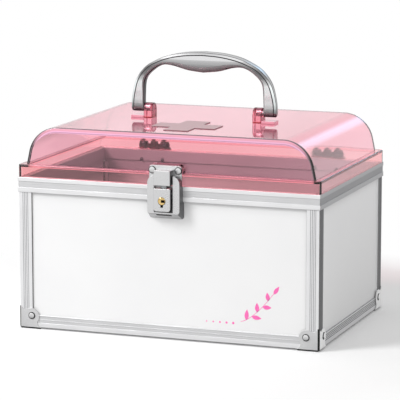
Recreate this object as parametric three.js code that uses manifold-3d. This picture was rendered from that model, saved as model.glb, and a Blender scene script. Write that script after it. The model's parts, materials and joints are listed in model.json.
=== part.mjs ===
// A portable lock box for medication: an aluminium-framed body with a clear pink domed lid, a swinging
// handle, two rear hinges and a key-locked latch. Millimetres, +X right, +Y to the back, +Z up.
// The box stands on the undersides of its four corner brackets, at z = 0.

import * as THREE from 'three';
import { mergeVertices } from 'three/addons/utils/BufferGeometryUtils.js';
import Module from 'manifold-3d';

const wasm = await Module();
wasm.setup();

// Overall sizes of the body
const boxWidth = 320;
const boxDepth = 222;
const frameHeight = 156;

// Clearances, and how far a cutting tool runs past what it cuts
const fit = 0.25;
const runningGap = 0.3125;
const past = 1;

// How many flats stand for a round
const rodFlats = 12;
const boreFlats = 16;
const lockFlats = 20;

// Walls of the body
const panelThickness = 4;

// Corner brackets: pressed sheet with a lobed outline on each of three faces
const bracketSheet = 1;
const bracketReach = 23;
const bracketTabEnd = 2;
const bracketShoulder = 3.5;
const lobeCentre = 12.75;
const lobeRadius = 8.75;
const lobeStartAngle = THREE.MathUtils.degToRad(-40);
const bracketRivetInset = 13.75;

// Edge extrusions: corner posts and bottom rails
const edgeSkin = 1.5;
const edgeLegWidth = 13.5;
const edgeInnerSkin = 1;
const edgeInnerLegWidth = 10.25;
const ribStart = 3.5;
const ribPitch = 1.75;
const ribCount = 4;
const ribWidth = 0.75;
const ribDepth = 0.375;

// Top rails
const topRailHeight = 15.25;
const topRailSkin = 1.5;
const topRailInnerSkin = 1.25;
const topRailInnerDepth = 12;
const topBandHeight = 4.75;
const topBandRecess = 0.5;
const topRailEdge = 0.5;
const mitreGap = 0.1875;

// Lid shell
const lidWall = 2.75;
const rimHeight = 12.75;
const rimCornerRadius = 4;
const rimEdgeRadius = 1.25;
const domeInset = 6.75;
const domeHeight = 38.25;
const domeEndRadius = 32;
const domeEndLean = THREE.MathUtils.degToRad(12);
const domeEdgeRadius = 4;
const latchPadHalfWidth = 18;
const latchPadHeight = 8.5;
const latchPadCornerRadius = 5;

// Cross plate on the lid
const crossSpan = 68;
const crossArmWidth = 26;
const crossRelief = 0.75;
const crossForward = 50.5;

// Handle and its lugs
const lugInnerX = 54.5;
const lugOuterX = 64;
const lugHalfDepth = 7.25;
const lugHeight = 15.5;
const lugFootReach = 78;
const lugFootHalfDepth = 7;
const lugFootHeight = 2.5;
const lugRoot = 0.75;
const pivotHeight = 10;
const pivotRadius = 3;
const pivotBlindWall = 3;
const legInnerX = 65;
const legOuterX = 79;
const legHalfThickness = 4;
const legEndDraw = 2;
const legBoreDepth = 6.25;
const gripHalfThickness = 8.5;
const handleRise = 60.25;

// Rear hinges
const hingeFromSide = 63;
const hingeHalfLength = 17.5;
const hingeKnuckleHalf = 5.75;
const hingeKnuckleGap = 0.5;
const leafSheet = 1.25;
const hingePinOffset = 2.5;
const hingePinRise = 0.125;
const knuckleRadius = 2.25;
const hingePinRadius = 1;
const hingePinHead = 1.75;
const hingePinHeadHeight = 0.75;
const leafLobeX = 12;
const leafLobeRadius = 5;
const leafMiddleLobeRadius = 4.25;
const upperLeafRivetRise = 6.25;
const lowerLeafRivetDrop = 10.25;

// Latch, measured forwards from the front face of the rail and upwards from the frame's top
const catchHalfWidth = 17.25;
const catchSheet = 1.25;
const catchBottomRise = 1;
const catchTopRise = 20.5;
const catchCornerRadius = 3;
const catchRivetX = 13.75;
const catchRivetRise = 15.75;
const blockHalfWidth = 8.625;
const blockFront = 11.75;
const blockBottomRise = 1.75;
const blockTopRise = 16.75;
const blockWall = 1.25;
const blockCornerRadius = 1;
const ledgeRise = 7;
const ledgeThickness = 1.25;
const ledgeInnerFace = 8.25;
const trayFrontHalfWidth = 16.375;
const trayBackHalfWidth = 18;
const trayFront = 7.625;
const trayTopRise = 11.25;
const trayTopCornerRadius = 8;
const trayBottomDrop = 27.25;
const trayBottomCornerRadius = 3;
const trayBottomFlare = 5.375;
const trayEdge = 0.625;
const channelHalfWidth = 10;
const channelFloorDrop = 25.75;
const fingerSlotHalfWidth = 8;
const fingerSlotBack = 4.25;
const fingerSlotFront = 6.75;
const keeperHalfWidth = 3;
const keeperBack = 3;
const keeperFront = 3.75;
const keeperHeight = 4.75;
const leverTopDrop = 1.25;
const leverBottomDrop = 24.25;
const leverCornerRadius = 2.5;
const leverTopRadius = 1;
const leverEdge = 0.5;
const leverBack = 5.25;
const leverPivotForward = 5;
const leverPivotDrop = 7;
const leverPinRadius = 1.25;
const leverPinHalfLength = 11.75;
const hookHalfWidth = 3;
const hookFootDrop = 5;
const hookSeatWall = 1.25;
const hookBack = 5.5;
const hookShankFront = 6.75;
const hookNoseFront = 7.75;
const hookNoseHeight = 1.5;
const hookNoseGap = 0.375;
const lockDrop = 13.75;
const lockRadius = 3.875;
const lockProud = 0.25;
const keywayLeft = -0.875;
const keywayRight = 3.375;
const keywayHalfHeight = 1.375;
const keywayDepth = 4;
const keyNotchHalfWidth = 1.375;
const keyNotchDrop = 20;
const keyNotchDepth = 2.5;
const camThickness = 1;
const camReach = 9.5;
const camHalfWidth = 2.5;
const camBack = 1.75;
const camScrewRadius = 2;
const camScrewHead = 0.75;
const camScrewShank = 1;
const camScrewLength = 4;
const trayScrewX = 14.25;
const trayScrewDrop = 7;
const trayScrewRadius = 1.25;
const trayScrewHeadRadius = 3;
const trayScrewHeadHeight = 1.5;
const trayScrewBite = 4.75;

// Rivets: radii and heights of the head, shank and tail
const bracketRivet = { head: 3.5, rise: 1.5, shank: 1.5, tail: 2.25, tailRise: 1 };
const hingeRivet = { head: 2.75, rise: 1.25, shank: 1.25, tail: 2, tailRise: 1 };
const catchRivet = { head: 3.125, rise: 1.25, shank: 1.25, tail: 2, tailRise: 1 };

// How far in and how high the crown of a rivet, screw or pin head starts, as shares of the head
const crownIn = 0.75;
const crownUp = 0.7;

// Planes that follow from the sizes above, measured inwards from a side's outer face
const panelOuter = bracketSheet + edgeSkin;
const panelInner = panelOuter + panelThickness;
const panelEdge = panelInner + edgeInnerSkin + fit;
const topRailOuterLeg = panelOuter - fit;
const topRailInnerLeg = panelInner + fit;
const topRailWidth = topRailInnerLeg + topRailInnerSkin;

// Places that follow from the sizes above
const hingeX = boxWidth / 2 - hingeFromSide;
const rimBottom = frameHeight + fit;
const rimTop = rimBottom + rimHeight;
const lidTop = rimTop + domeHeight;
const pivotZ = lidTop + pivotHeight;
const hingePinZ = frameHeight + hingePinRise;
const hingePinY = boxDepth / 2 + hingePinOffset;

// The origin is below the middle of the whole object, from the lock's face to the hinge knuckles
const frontReach = boxDepth / 2 + blockFront + lockProud;
const rearReach = hingePinY + knuckleRadius;
const originShift = (frontReach - rearReach) / 2;

// Materials
const aluminium = new THREE.MeshStandardMaterial({ color: 0xd6d8da, roughness: 0.35, metalness: 0.9 });
const panelBoard = new THREE.MeshStandardMaterial({ color: 0xf2f2f3, roughness: 0.5, metalness: 0 });
const pinkPlastic = new THREE.MeshStandardMaterial({
  color: 0xff9db4,
  roughness: 0.15,
  metalness: 0,
  transparent: true,
  opacity: 0.45,
});
const emblemPlastic = new THREE.MeshStandardMaterial({ color: 0xc9a5ab, roughness: 0.6, metalness: 0 });
const chrome = new THREE.MeshStandardMaterial({ color: 0xc8cacc, roughness: 0.2, metalness: 1 });
const steel = new THREE.MeshStandardMaterial({ color: 0xd9dadb, roughness: 0.3, metalness: 0.9 });
const darkSteel = new THREE.MeshStandardMaterial({ color: 0x77797c, roughness: 0.4, metalness: 0.9 });
const brass = new THREE.MeshStandardMaterial({ color: 0xe6c27a, roughness: 0.3, metalness: 1 });

const lockBox = new THREE.Group();
lockBox.position.y = originShift;

function add(name, geometry, material, place = {}) {
  const mesh = new THREE.Mesh(geometry, material);
  mesh.name = name;
  mesh.position.set(place.x ?? 0, place.y ?? 0, place.z ?? 0);
  mesh.rotation.z = place.turn ?? 0;
  lockBox.add(mesh);
}

// Booleans

function toSolid(geometry) {
  const bare = geometry.clone();
  bare.deleteAttribute('normal');
  bare.deleteAttribute('uv');
  const merged = mergeVertices(bare);
  const corners = merged.index.array;
  const kept = [];
  for (let i = 0; i < corners.length; i += 3) {
    const [a, b, c] = [corners[i], corners[i + 1], corners[i + 2]];
    if (a !== b && b !== c && c !== a) kept.push(a, b, c);
  }
  return new wasm.Manifold(new wasm.Mesh({
    numProp: 3,
    vertProperties: merged.attributes.position.array,
    triVerts: new Uint32Array(kept),
  }));
}

function toGeometry(solid) {
  const mesh = solid.getMesh();
  const geometry = new THREE.BufferGeometry();
  geometry.setAttribute('position', new THREE.BufferAttribute(new Float32Array(mesh.vertProperties), 3));
  geometry.setIndex(new THREE.BufferAttribute(new Uint32Array(mesh.triVerts), 1));
  geometry.computeVertexNormals();
  return geometry;
}

function unite(...geometries) {
  return toGeometry(geometries.map(toSolid).reduce((all, next) => all.add(next)));
}

function cut(geometry, ...tools) {
  return toGeometry(tools.map(toSolid).reduce((rest, tool) => rest.subtract(tool), toSolid(geometry)));
}

// Primitives

const X = new THREE.Vector3(1, 0, 0);
const Y = new THREE.Vector3(0, 1, 0);
const Z = new THREE.Vector3(0, 0, 1);

// Profiles are drawn in (y, z) for a prism along x, in (x, z) along y and in (x, y) along z
const prismFrames = {
  x: new THREE.Matrix4().makeBasis(Y, Z, X),
  y: new THREE.Matrix4().makeBasis(X, Z, Y.clone().negate()),
  z: new THREE.Matrix4(),
};

function prism(shape, axis, from, to, edge = 0, segments = 6) {
  const geometry = new THREE.ExtrudeGeometry(shape, {
    depth: to - from - 2 * edge,
    curveSegments: segments,
    bevelEnabled: edge > 0,
    bevelThickness: edge,
    bevelSize: edge,
    bevelOffset: -edge,
    bevelSegments: edge > 2 ? 3 : 1,
  });
  geometry.applyMatrix4(prismFrames[axis]);
  const start = axis === 'y' ? to - edge : from + edge;
  return geometry.translate(axis === 'x' ? start : 0, axis === 'y' ? start : 0, axis === 'z' ? start : 0);
}

function block([x0, x1], [y0, y1], [z0, z1]) {
  const geometry = new THREE.BoxGeometry(x1 - x0, y1 - y0, z1 - z0);
  return geometry.translate((x0 + x1) / 2, (y0 + y1) / 2, (z0 + z1) / 2);
}

// A round rod along x or y, through the point (first, second) in the other two coordinates
function rod(axis, radius, [from, to], first, second, flats = rodFlats) {
  const geometry = new THREE.CylinderGeometry(radius, radius, to - from, flats);
  const middle = (from + to) / 2;
  if (axis === 'y') return geometry.translate(first, middle, second);
  return geometry.rotateZ(-Math.PI / 2).translate(middle, first, second);
}

function polygon(points) {
  return new THREE.Shape(points.map(([a, b]) => new THREE.Vector2(a, b)));
}

// A rectangle centred on x = 0 with its own corner radius at the top and at the bottom
function roundedOutline(halfWidth, bottom, top, bottomRadius, topRadius) {
  const shape = new THREE.Shape();
  shape.moveTo(-halfWidth + bottomRadius, bottom);
  shape.lineTo(halfWidth - bottomRadius, bottom);
  if (bottomRadius > 0) {
    shape.absarc(halfWidth - bottomRadius, bottom + bottomRadius, bottomRadius, -Math.PI / 2, 0, false);
  }
  shape.lineTo(halfWidth, top - topRadius);
  if (topRadius > 0) shape.absarc(halfWidth - topRadius, top - topRadius, topRadius, 0, Math.PI / 2, false);
  shape.lineTo(-halfWidth + topRadius, top);
  if (topRadius > 0) {
    shape.absarc(-halfWidth + topRadius, top - topRadius, topRadius, Math.PI / 2, Math.PI, false);
  }
  shape.lineTo(-halfWidth, bottom + bottomRadius);
  if (bottomRadius > 0) {
    shape.absarc(-halfWidth + bottomRadius, bottom + bottomRadius, bottomRadius, Math.PI, 1.5 * Math.PI, false);
  }
  return shape;
}

// A round piece about the y axis, from its outline as [radius, y]
function turned(outline) {
  return new THREE.LatheGeometry(outline.map(([r, y]) => new THREE.Vector2(r, y)), rodFlats);
}

// A rivet along +y: the head's underside is at y = 0 and the tail closes at y = grip
function rivetGeometry(kind, grip) {
  const outline = [
    [0, -kind.rise],
    [kind.head * crownIn, -kind.rise * crownUp],
    [kind.head, 0],
    [kind.shank, 0],
    [kind.shank, grip],
    [kind.tail, grip],
    [kind.tail * crownIn, grip + kind.tailRise],
    [0, grip + kind.tailRise],
  ];
  return turned(outline);
}

// The four sides of the body. In a side's own frame x runs along it, y inwards from its outer face
const sides = [
  { name: 'front', turn: 0, reach: boxDepth / 2, span: boxWidth },
  { name: 'right', turn: Math.PI / 2, reach: boxWidth / 2, span: boxDepth },
  { name: 'rear', turn: Math.PI, reach: boxDepth / 2, span: boxWidth },
  { name: 'left', turn: -Math.PI / 2, reach: boxWidth / 2, span: boxDepth },
];

function sidePlace(side) {
  return { turn: side.turn, x: side.reach * Math.sin(side.turn), y: -side.reach * Math.cos(side.turn) };
}

// The four bottom corners. In a corner's own frame x and y both run inwards from its outer faces
const corners = [
  { name: 'front_left', turn: 0, x: -1, y: -1 },
  { name: 'front_right', turn: Math.PI / 2, x: 1, y: -1 },
  { name: 'rear_right', turn: Math.PI, x: 1, y: 1 },
  { name: 'rear_left', turn: -Math.PI / 2, x: -1, y: 1 },
];

function cornerPlace(corner) {
  return { turn: corner.turn, x: (corner.x * boxWidth) / 2, y: (corner.y * boxDepth) / 2 };
}

// Fastener holes, drilled along a side's own y

const hingeRivetX = [-1, 1].flatMap((hinge) => [-1, 1].map((end) => hinge * hingeX + end * leafLobeX));
const lowerLeafRivetZ = frameHeight - lowerLeafRivetDrop;
const upperLeafRivetZ = frameHeight + upperLeafRivetRise;
const trayScrewZ = frameHeight - trayScrewDrop;

function drill(x, z, radius, from = -past, to = topRailWidth + past) {
  return rod('y', radius + fit, [from, to], x, z);
}

function bracketHoles(side) {
  const x = side.span / 2 - bracketRivetInset;
  return [-x, x].map((at) => drill(at, bracketRivetInset, bracketRivet.shank));
}

function fittingHoles(side) {
  if (side.name === 'front') {
    return [-trayScrewX, trayScrewX].map((x) => drill(x, trayScrewZ, trayScrewRadius));
  }
  if (side.name === 'rear') return hingeRivetX.map((x) => drill(x, lowerLeafRivetZ, hingeRivet.shank));
  return [];
}

// Body

// Section of a corner post or bottom rail, with its outer corner towards (0, 0), grooved outer faces
// and a slot on each leg that a panel's edge sits in
function edgeSection() {
  const b = bracketSheet;
  const legEnd = b + edgeLegWidth;
  const innerLegEnd = b + edgeInnerLegWidth;
  const coreEnd = panelInner + edgeInnerSkin;
  const grooves = [];
  for (let i = 0; i < ribCount; i += 1) {
    const at = b + ribStart + i * ribPitch;
    grooves.push([at, b], [at + ribWidth / 2, b + ribDepth], [at + ribWidth, b]);
  }
  const half = [
    ...grooves,
    [legEnd, b],
    [legEnd, panelOuter],
    [coreEnd, panelOuter],
    [coreEnd, panelInner],
    [innerLegEnd, panelInner],
    [innerLegEnd, coreEnd],
  ];
  const otherHalf = half.map(([x, y]) => [y, x]).reverse();
  return polygon([[b, b], ...half, [coreEnd, coreEnd], ...otherHalf]);
}

function cornerPost() {
  const post = prism(edgeSection(), 'z', bracketSheet, frameHeight - topRailHeight - fit);
  const hole = drill(bracketRivetInset, bracketRivetInset, bracketRivet.shank, -past, panelInner + past);
  const reach = [-past, panelInner + past];
  const sideHole = rod('x', bracketRivet.shank + fit, reach, bracketRivetInset, bracketRivetInset);
  return cut(post, hole, sideHole);
}

function bottomRail(side) {
  const halfLength = side.span / 2 - bracketSheet - edgeLegWidth - fit;
  return cut(prism(edgeSection(), 'x', -halfLength, halfLength), ...bracketHoles(side));
}

function topRailSection() {
  const bottom = frameHeight - topRailHeight;
  const underFlange = frameHeight - topRailSkin;
  return polygon([
    [0, bottom],
    [topRailOuterLeg, bottom],
    [topRailOuterLeg, underFlange],
    [topRailInnerLeg, underFlange],
    [topRailInnerLeg, frameHeight - topRailInnerDepth],
    [topRailWidth, frameHeight - topRailInnerDepth],
    [topRailWidth, frameHeight],
    [topRailEdge, frameHeight],
    [0, frameHeight - topRailEdge],
    [0, frameHeight - topBandHeight],
    [topBandRecess, frameHeight - topBandHeight],
    [topBandRecess, bottom + topBandHeight],
    [0, bottom + topBandHeight],
  ]);
}

// A top rail with its ends mitred at 45 degrees: each end moves in by its distance from the outer face
function topRail(side) {
  const rail = prism(topRailSection(), 'x', -side.span / 2, side.span / 2);
  const position = rail.attributes.position;
  for (let i = 0; i < position.count; i += 1) {
    const halfLength = side.span / 2 - position.getY(i) - mitreGap;
    position.setX(i, Math.sign(position.getX(i)) * halfLength);
  }
  const holes = fittingHoles(side);
  return holes.length > 0 ? cut(rail, ...holes) : rail;
}

function wallPanel(side) {
  const halfLength = side.span / 2 - panelEdge;
  const top = frameHeight - topRailSkin - fit;
  const board = block([-halfLength, halfLength], [panelOuter, panelInner], [panelEdge, top]);
  return cut(board, ...bracketHoles(side), ...fittingHoles(side));
}

function bottomPanel() {
  const halfWidth = boxWidth / 2 - panelEdge;
  const halfDepth = boxDepth / 2 - panelEdge;
  return block([-halfWidth, halfWidth], [-halfDepth, halfDepth], [panelOuter, panelInner]);
}

// One face of a bracket: a lobe round the rivet, with a concave shoulder up to each tab
function bracketFace() {
  const lobeStart = [
    lobeCentre + lobeRadius * Math.cos(lobeStartAngle),
    lobeCentre + lobeRadius * Math.sin(lobeStartAngle),
  ];
  const shoulder = [lobeStart[0], bracketShoulder];
  const shape = new THREE.Shape();
  shape.moveTo(0, 0);
  shape.lineTo(bracketReach, 0);
  shape.lineTo(bracketReach, bracketTabEnd);
  shape.quadraticCurveTo(shoulder[0], shoulder[1], lobeStart[0], lobeStart[1]);
  shape.absarc(lobeCentre, lobeCentre, lobeRadius, lobeStartAngle, Math.PI / 2 - lobeStartAngle, false);
  shape.quadraticCurveTo(shoulder[1], shoulder[0], bracketTabEnd, bracketReach);
  shape.lineTo(0, bracketReach);
  return shape;
}

function cornerBracket() {
  const faces = unite(
    prism(bracketFace(), 'y', 0, bracketSheet),
    prism(bracketFace(), 'x', 0, bracketSheet),
    prism(bracketFace(), 'z', 0, bracketSheet),
  );
  const reach = [-past, bracketSheet + past];
  const hole = drill(bracketRivetInset, bracketRivetInset, bracketRivet.shank, ...reach);
  const sideHole = rod('x', bracketRivet.shank + fit, reach, bracketRivetInset, bracketRivetInset);
  return cut(faces, hole, sideHole);
}

function makeBody() {
  for (const side of sides) {
    add(`${side.name}_panel`, wallPanel(side), panelBoard, sidePlace(side));
    add(`${side.name}_bottom_rail`, bottomRail(side), aluminium, sidePlace(side));
    add(`${side.name}_top_rail`, topRail(side), aluminium, sidePlace(side));
    for (const [end, sign] of [['a', -1], ['b', 1]]) {
      const rivet = rivetGeometry(bracketRivet, panelInner);
      rivet.translate(sign * (side.span / 2 - bracketRivetInset), 0, bracketRivetInset);
      add(`bracket_rivet_${side.name}_${end}`, rivet, steel, sidePlace(side));
    }
  }
  add('bottom_panel', bottomPanel(), panelBoard);
  for (const corner of corners) {
    add(`corner_post_${corner.name}`, cornerPost(), aluminium, cornerPlace(corner));
    add(`corner_bracket_${corner.name}`, cornerBracket(), steel, cornerPlace(corner));
  }
}

// Lid

// The dome's end profile in (x, z), moved inwards all round by inset, with its flat foot at z = bottom
function domeProfile(inset, bottom) {
  const centreZ = lidTop - domeEndRadius;
  const halfBase = boxWidth / 2 - domeInset;
  const leanCos = Math.cos(domeEndLean);
  const leanSin = Math.sin(domeEndLean);
  const centreX = halfBase - (domeEndRadius - leanSin * (rimTop - centreZ)) / leanCos;
  const radius = domeEndRadius - inset;
  const footX = centreX + (radius - leanSin * (bottom - centreZ)) / leanCos;
  const shape = new THREE.Shape();
  shape.moveTo(-footX, bottom);
  shape.lineTo(footX, bottom);
  shape.absarc(centreX, centreZ, radius, domeEndLean, Math.PI / 2, false);
  shape.absarc(-centreX, centreZ, radius, Math.PI / 2, Math.PI - domeEndLean, false);
  return shape;
}

function domeSolid(inset, bottom) {
  const halfDepth = boxDepth / 2 - domeInset - inset;
  return prism(domeProfile(inset, bottom), 'y', -halfDepth, halfDepth, domeEdgeRadius - inset, 8);
}

function rimSolid(inset, bottom, top, edge) {
  const halfWidth = boxWidth / 2 - inset;
  const halfDepth = boxDepth / 2 - inset;
  const radius = rimCornerRadius - inset;
  return prism(roundedOutline(halfWidth, -halfDepth, halfDepth, radius, radius), 'z', bottom, top, edge, 4);
}

// The span from near to far on the right (1), or its mirror image on the left (-1)
function mirrored(side, near, far) {
  return side > 0 ? [near, far] : [-far, -near];
}

// A lug: a round-topped upright that holds the pivot pin, and a foot plate under the handle's leg
function lugSolids(side) {
  const upright = roundedOutline(lugHalfDepth, lidTop - lugRoot, lidTop + lugHeight, 0, lugHalfDepth);
  const footSpan = mirrored(side, lugInnerX, lugFootReach);
  const uprightSpan = mirrored(side, lugInnerX, lugOuterX);
  const footHeights = [lidTop - lugRoot, lidTop + lugFootHeight];
  const foot = block(footSpan, [-lugFootHalfDepth, lugFootHalfDepth], footHeights);
  return [prism(upright, 'x', ...uprightSpan), foot];
}

function lidShell() {
  const front = -boxDepth / 2;
  const below = rimBottom - rimHeight / 2;
  const padTop = rimTop + latchPadHeight;
  const pad = prism(
    roundedOutline(latchPadHalfWidth, rimTop - lidWall, padTop, 0, latchPadCornerRadius),
    'y',
    front,
    front + domeInset + lidWall / 2,
  );
  const outside = unite(
    rimSolid(0, below, rimTop, rimEdgeRadius),
    domeSolid(0, rimTop - 2 * domeEdgeRadius),
    pad,
    ...lugSolids(-1),
    ...lugSolids(1),
  );
  const belowRim = block([-boxWidth, boxWidth], [-boxDepth, boxDepth], [below - past, rimBottom]);
  const rimHollow = rimSolid(lidWall, below - past, rimTop - lidWall, 0);
  const domeHollow = domeSolid(lidWall, rimTop - lidWall - 2 * domeEdgeRadius);
  const pinHoles = [-1, 1].map((side) => {
    const span = mirrored(side, lugInnerX + pivotBlindWall, lugOuterX + past);
    return rod('x', pivotRadius + fit, span, 0, pivotZ, boreFlats);
  });
  const catchHoles = [-catchRivetX, catchRivetX].map((x) => {
    const reach = [front - past, front + domeInset + lidWall + past];
    return rod('y', catchRivet.shank + fit, reach, x, frameHeight + catchRivetRise);
  });
  const hingeHoles = hingeRivetX.map((x) => {
    const reach = [boxDepth / 2 - lidWall - past, boxDepth / 2 + past];
    return rod('y', hingeRivet.shank + fit, reach, x, upperLeafRivetZ);
  });
  return cut(outside, belowRim, rimHollow, domeHollow, ...pinHoles, ...catchHoles, ...hingeHoles);
}

function crossEmblem() {
  const long = crossSpan / 2;
  const short = crossArmWidth / 2;
  const quarter = [[long, -short], [long, short], [short, short]];
  const points = [0, 1, 2, 3].flatMap((turns) => quarter.map(([x, y]) => {
    let [a, b] = [x, y];
    for (let i = 0; i < turns; i += 1) [a, b] = [-b, a];
    return [a, b - crossForward];
  }));
  return prism(polygon(points), 'z', lidTop, lidTop + crossRelief);
}

// Handle

// Stations along the right half, from the middle of the grip to the pivot. The outer and the inner edge are
// [x, height], as shares of the leg's outer or inner x and of the handle's rise above the pivots. swell is
// the share of the way from the leg's thickness to the grip's, and square says how square the section is
const handleStations = [
  { outer: [0, 1], inner: [0, 0.647], swell: 1, square: 2.6 },
  { outer: [0.253, 0.979], inner: [0.262, 0.68], swell: 1, square: 2.6 },
  { outer: [0.481, 0.921], inner: [0.508, 0.751], swell: 0.89, square: 2.8 },
  { outer: [0.646, 0.834], inner: [0.677, 0.755], swell: 0.67, square: 3 },
  { outer: [0.797, 0.714], inner: [0.838, 0.66], swell: 0.44, square: 3.4 },
  { outer: [0.924, 0.502], inner: [0.973, 0.494], swell: 0.22, square: 4 },
  { outer: [0.987, 0.216], inner: [1, 0.216], swell: 0, square: 4.5 },
  { outer: [1, 0], inner: [1, 0], swell: 0, square: 4.5 },
];
const handleSteps = 15;
const handleRingPoints = 16;
const legEndAngles = [30, 55, 75].map(THREE.MathUtils.degToRad);

// One ring of points round the section between an outer and an inner edge point
function handleRing(outer, inner, half, square, mirror) {
  const ring = [];
  for (let i = 0; i < handleRingPoints; i += 1) {
    const angle = (2 * Math.PI * (i + 0.5)) / handleRingPoints;
    const across = Math.sign(Math.cos(angle)) * Math.abs(Math.cos(angle)) ** (2 / square);
    const along = Math.sign(Math.sin(angle)) * Math.abs(Math.sin(angle)) ** (2 / square);
    const share = (1 + across) / 2;
    const x = inner[0] + (outer[0] - inner[0]) * share;
    const z = inner[1] + (outer[1] - inner[1]) * share;
    ring.push([mirror * x, half * along, pivotZ + z]);
  }
  return ring;
}

// Rings down one half of the handle, ending in a leg end rounded about the pivot
function halfHandleRings(mirror) {
  const edgeCurve = (edge, legX) => new THREE.SplineCurve(
    handleStations.map((s) => new THREE.Vector2(s[edge][0] * legX, s[edge][1] * handleRise)),
  );
  const outerCurve = edgeCurve('outer', legOuterX);
  const innerCurve = edgeCurve('inner', legInnerX);
  const sectionCurve = new THREE.SplineCurve(handleStations.map((s) => new THREE.Vector2(s.swell, s.square)));
  const rings = [];
  for (let i = 0; i <= handleSteps; i += 1) {
    const t = i / handleSteps;
    const outer = outerCurve.getPoint(t).toArray();
    const inner = innerCurve.getPoint(t).toArray();
    const { x: swell, y: square } = sectionCurve.getPoint(t);
    const half = THREE.MathUtils.lerp(legHalfThickness, gripHalfThickness, swell);
    rings.push(handleRing(outer, inner, half, square, mirror));
  }
  const { square } = handleStations.at(-1);
  for (const angle of legEndAngles) {
    const drop = -legHalfThickness * Math.sin(angle);
    const draw = legEndDraw * (1 - Math.cos(angle));
    const outer = [legOuterX - draw, drop];
    const inner = [legInnerX + draw / 2, drop];
    rings.push(handleRing(outer, inner, legHalfThickness * Math.cos(angle), square, mirror));
  }
  return rings;
}

function loft(rings) {
  const count = rings[0].length;
  const points = rings.flat();
  const faces = [];
  for (let r = 0; r + 1 < rings.length; r += 1) {
    for (let i = 0; i < count; i += 1) {
      const a = r * count + i;
      const b = r * count + ((i + 1) % count);
      faces.push(a, a + count, b, b, a + count, b + count);
    }
  }
  const last = (rings.length - 1) * count;
  for (let i = 1; i + 1 < count; i += 1) {
    faces.push(0, i, i + 1, last, last + i + 1, last + i);
  }
  const geometry = new THREE.BufferGeometry();
  geometry.setAttribute('position', new THREE.Float32BufferAttribute(points.flat(), 3));
  geometry.setIndex(faces);
  return geometry;
}

function handleBail() {
  const left = halfHandleRings(-1).reverse();
  const right = halfHandleRings(1).slice(1);
  const bail = loft([...left, ...right]);
  const bores = [-1, 1].map((side) => {
    const span = mirrored(side, legInnerX - past, legInnerX + legBoreDepth);
    return rod('x', pivotRadius + fit, span, 0, pivotZ, boreFlats);
  });
  return cut(bail, ...bores);
}

function pivotPin(side) {
  const near = lugInnerX + pivotBlindWall + fit;
  const far = legInnerX + legBoreDepth - fit;
  return rod('x', pivotRadius, mirrored(side, near, far), 0, pivotZ, boreFlats);
}

function makeLid() {
  add('lid_shell', lidShell(), pinkPlastic);
  add('cross_emblem', crossEmblem(), emblemPlastic);
  add('handle', handleBail(), chrome);
  for (const [name, side] of [['left', -1], ['right', 1]]) {
    add(`handle_pin_${name}`, pivotPin(side), steel);
  }
}

// Hinges, drawn about x = 0 and then moved to each side

// The flat of a leaf with its lobed edge, from clear of the knuckles up (1) or down (-1)
function leafPlate(direction, rivetZ) {
  const face = [boxDepth / 2, boxDepth / 2 + leafSheet];
  const clear = hingePinZ + direction * knuckleRadius;
  const heights = (a, b) => [Math.min(a, b), Math.max(a, b)];
  const plate = block([-hingeHalfLength, hingeHalfLength], face, heights(hingePinZ, rivetZ));
  const lobes = [-leafLobeX, leafLobeX].map((x) => rod('y', leafLobeRadius, face, x, rivetZ, boreFlats));
  const middleZ = rivetZ + direction * (leafLobeRadius - leafMiddleLobeRadius);
  const middleLobe = rod('y', leafMiddleLobeRadius, face, 0, middleZ, boreFlats);
  const knuckleSide = block([-hingeX, hingeX], [0, boxDepth], heights(clear - direction * boxDepth, clear));
  return cut(unite(plate, ...lobes, middleLobe), knuckleSide);
}

function knuckles(spans) {
  return spans.map((span) => rod('x', knuckleRadius, span, hingePinY, hingePinZ, boreFlats));
}

const outerKnuckles = [
  [-hingeHalfLength, -hingeKnuckleHalf - hingeKnuckleGap],
  [hingeKnuckleHalf + hingeKnuckleGap, hingeHalfLength],
];
const middleKnuckle = [[-hingeKnuckleHalf, hingeKnuckleHalf]];

function finishLeaf(pieces, rivetZ) {
  const span = [-hingeHalfLength - past, hingeHalfLength + past];
  const bore = rod('x', hingePinRadius + fit, span, hingePinY, hingePinZ);
  const reach = [boxDepth / 2 - past, boxDepth / 2 + leafSheet + past];
  const holes = [-leafLobeX, leafLobeX].map((x) => rod('y', hingeRivet.shank + fit, reach, x, rivetZ));
  return cut(unite(...pieces), bore, ...holes);
}

function upperLeaf() {
  const face = [boxDepth / 2, boxDepth / 2 + leafSheet];
  const neck = block(middleKnuckle[0], face, [rimBottom, upperLeafRivetZ]);
  return finishLeaf([leafPlate(1, upperLeafRivetZ), neck, ...knuckles(middleKnuckle)], upperLeafRivetZ);
}

function lowerLeaf() {
  const face = [boxDepth / 2, boxDepth / 2 + leafSheet];
  const necks = outerKnuckles.map((span) => block(span, face, [lowerLeafRivetZ, hingePinZ]));
  return finishLeaf([leafPlate(-1, lowerLeafRivetZ), ...necks, ...knuckles(outerKnuckles)], lowerLeafRivetZ);
}

function hingePin() {
  const end = hingeHalfLength + fit;
  const outline = [
    [0, -end - hingePinHeadHeight],
    [hingePinHead * crownIn, -end - hingePinHeadHeight],
    [hingePinHead, -end],
    [hingePinRadius, -end],
    [hingePinRadius, end],
    [hingePinHead, end],
    [hingePinHead * crownIn, end + hingePinHeadHeight],
    [0, end + hingePinHeadHeight],
  ];
  return turned(outline).rotateZ(-Math.PI / 2).translate(0, hingePinY, hingePinZ);
}

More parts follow.
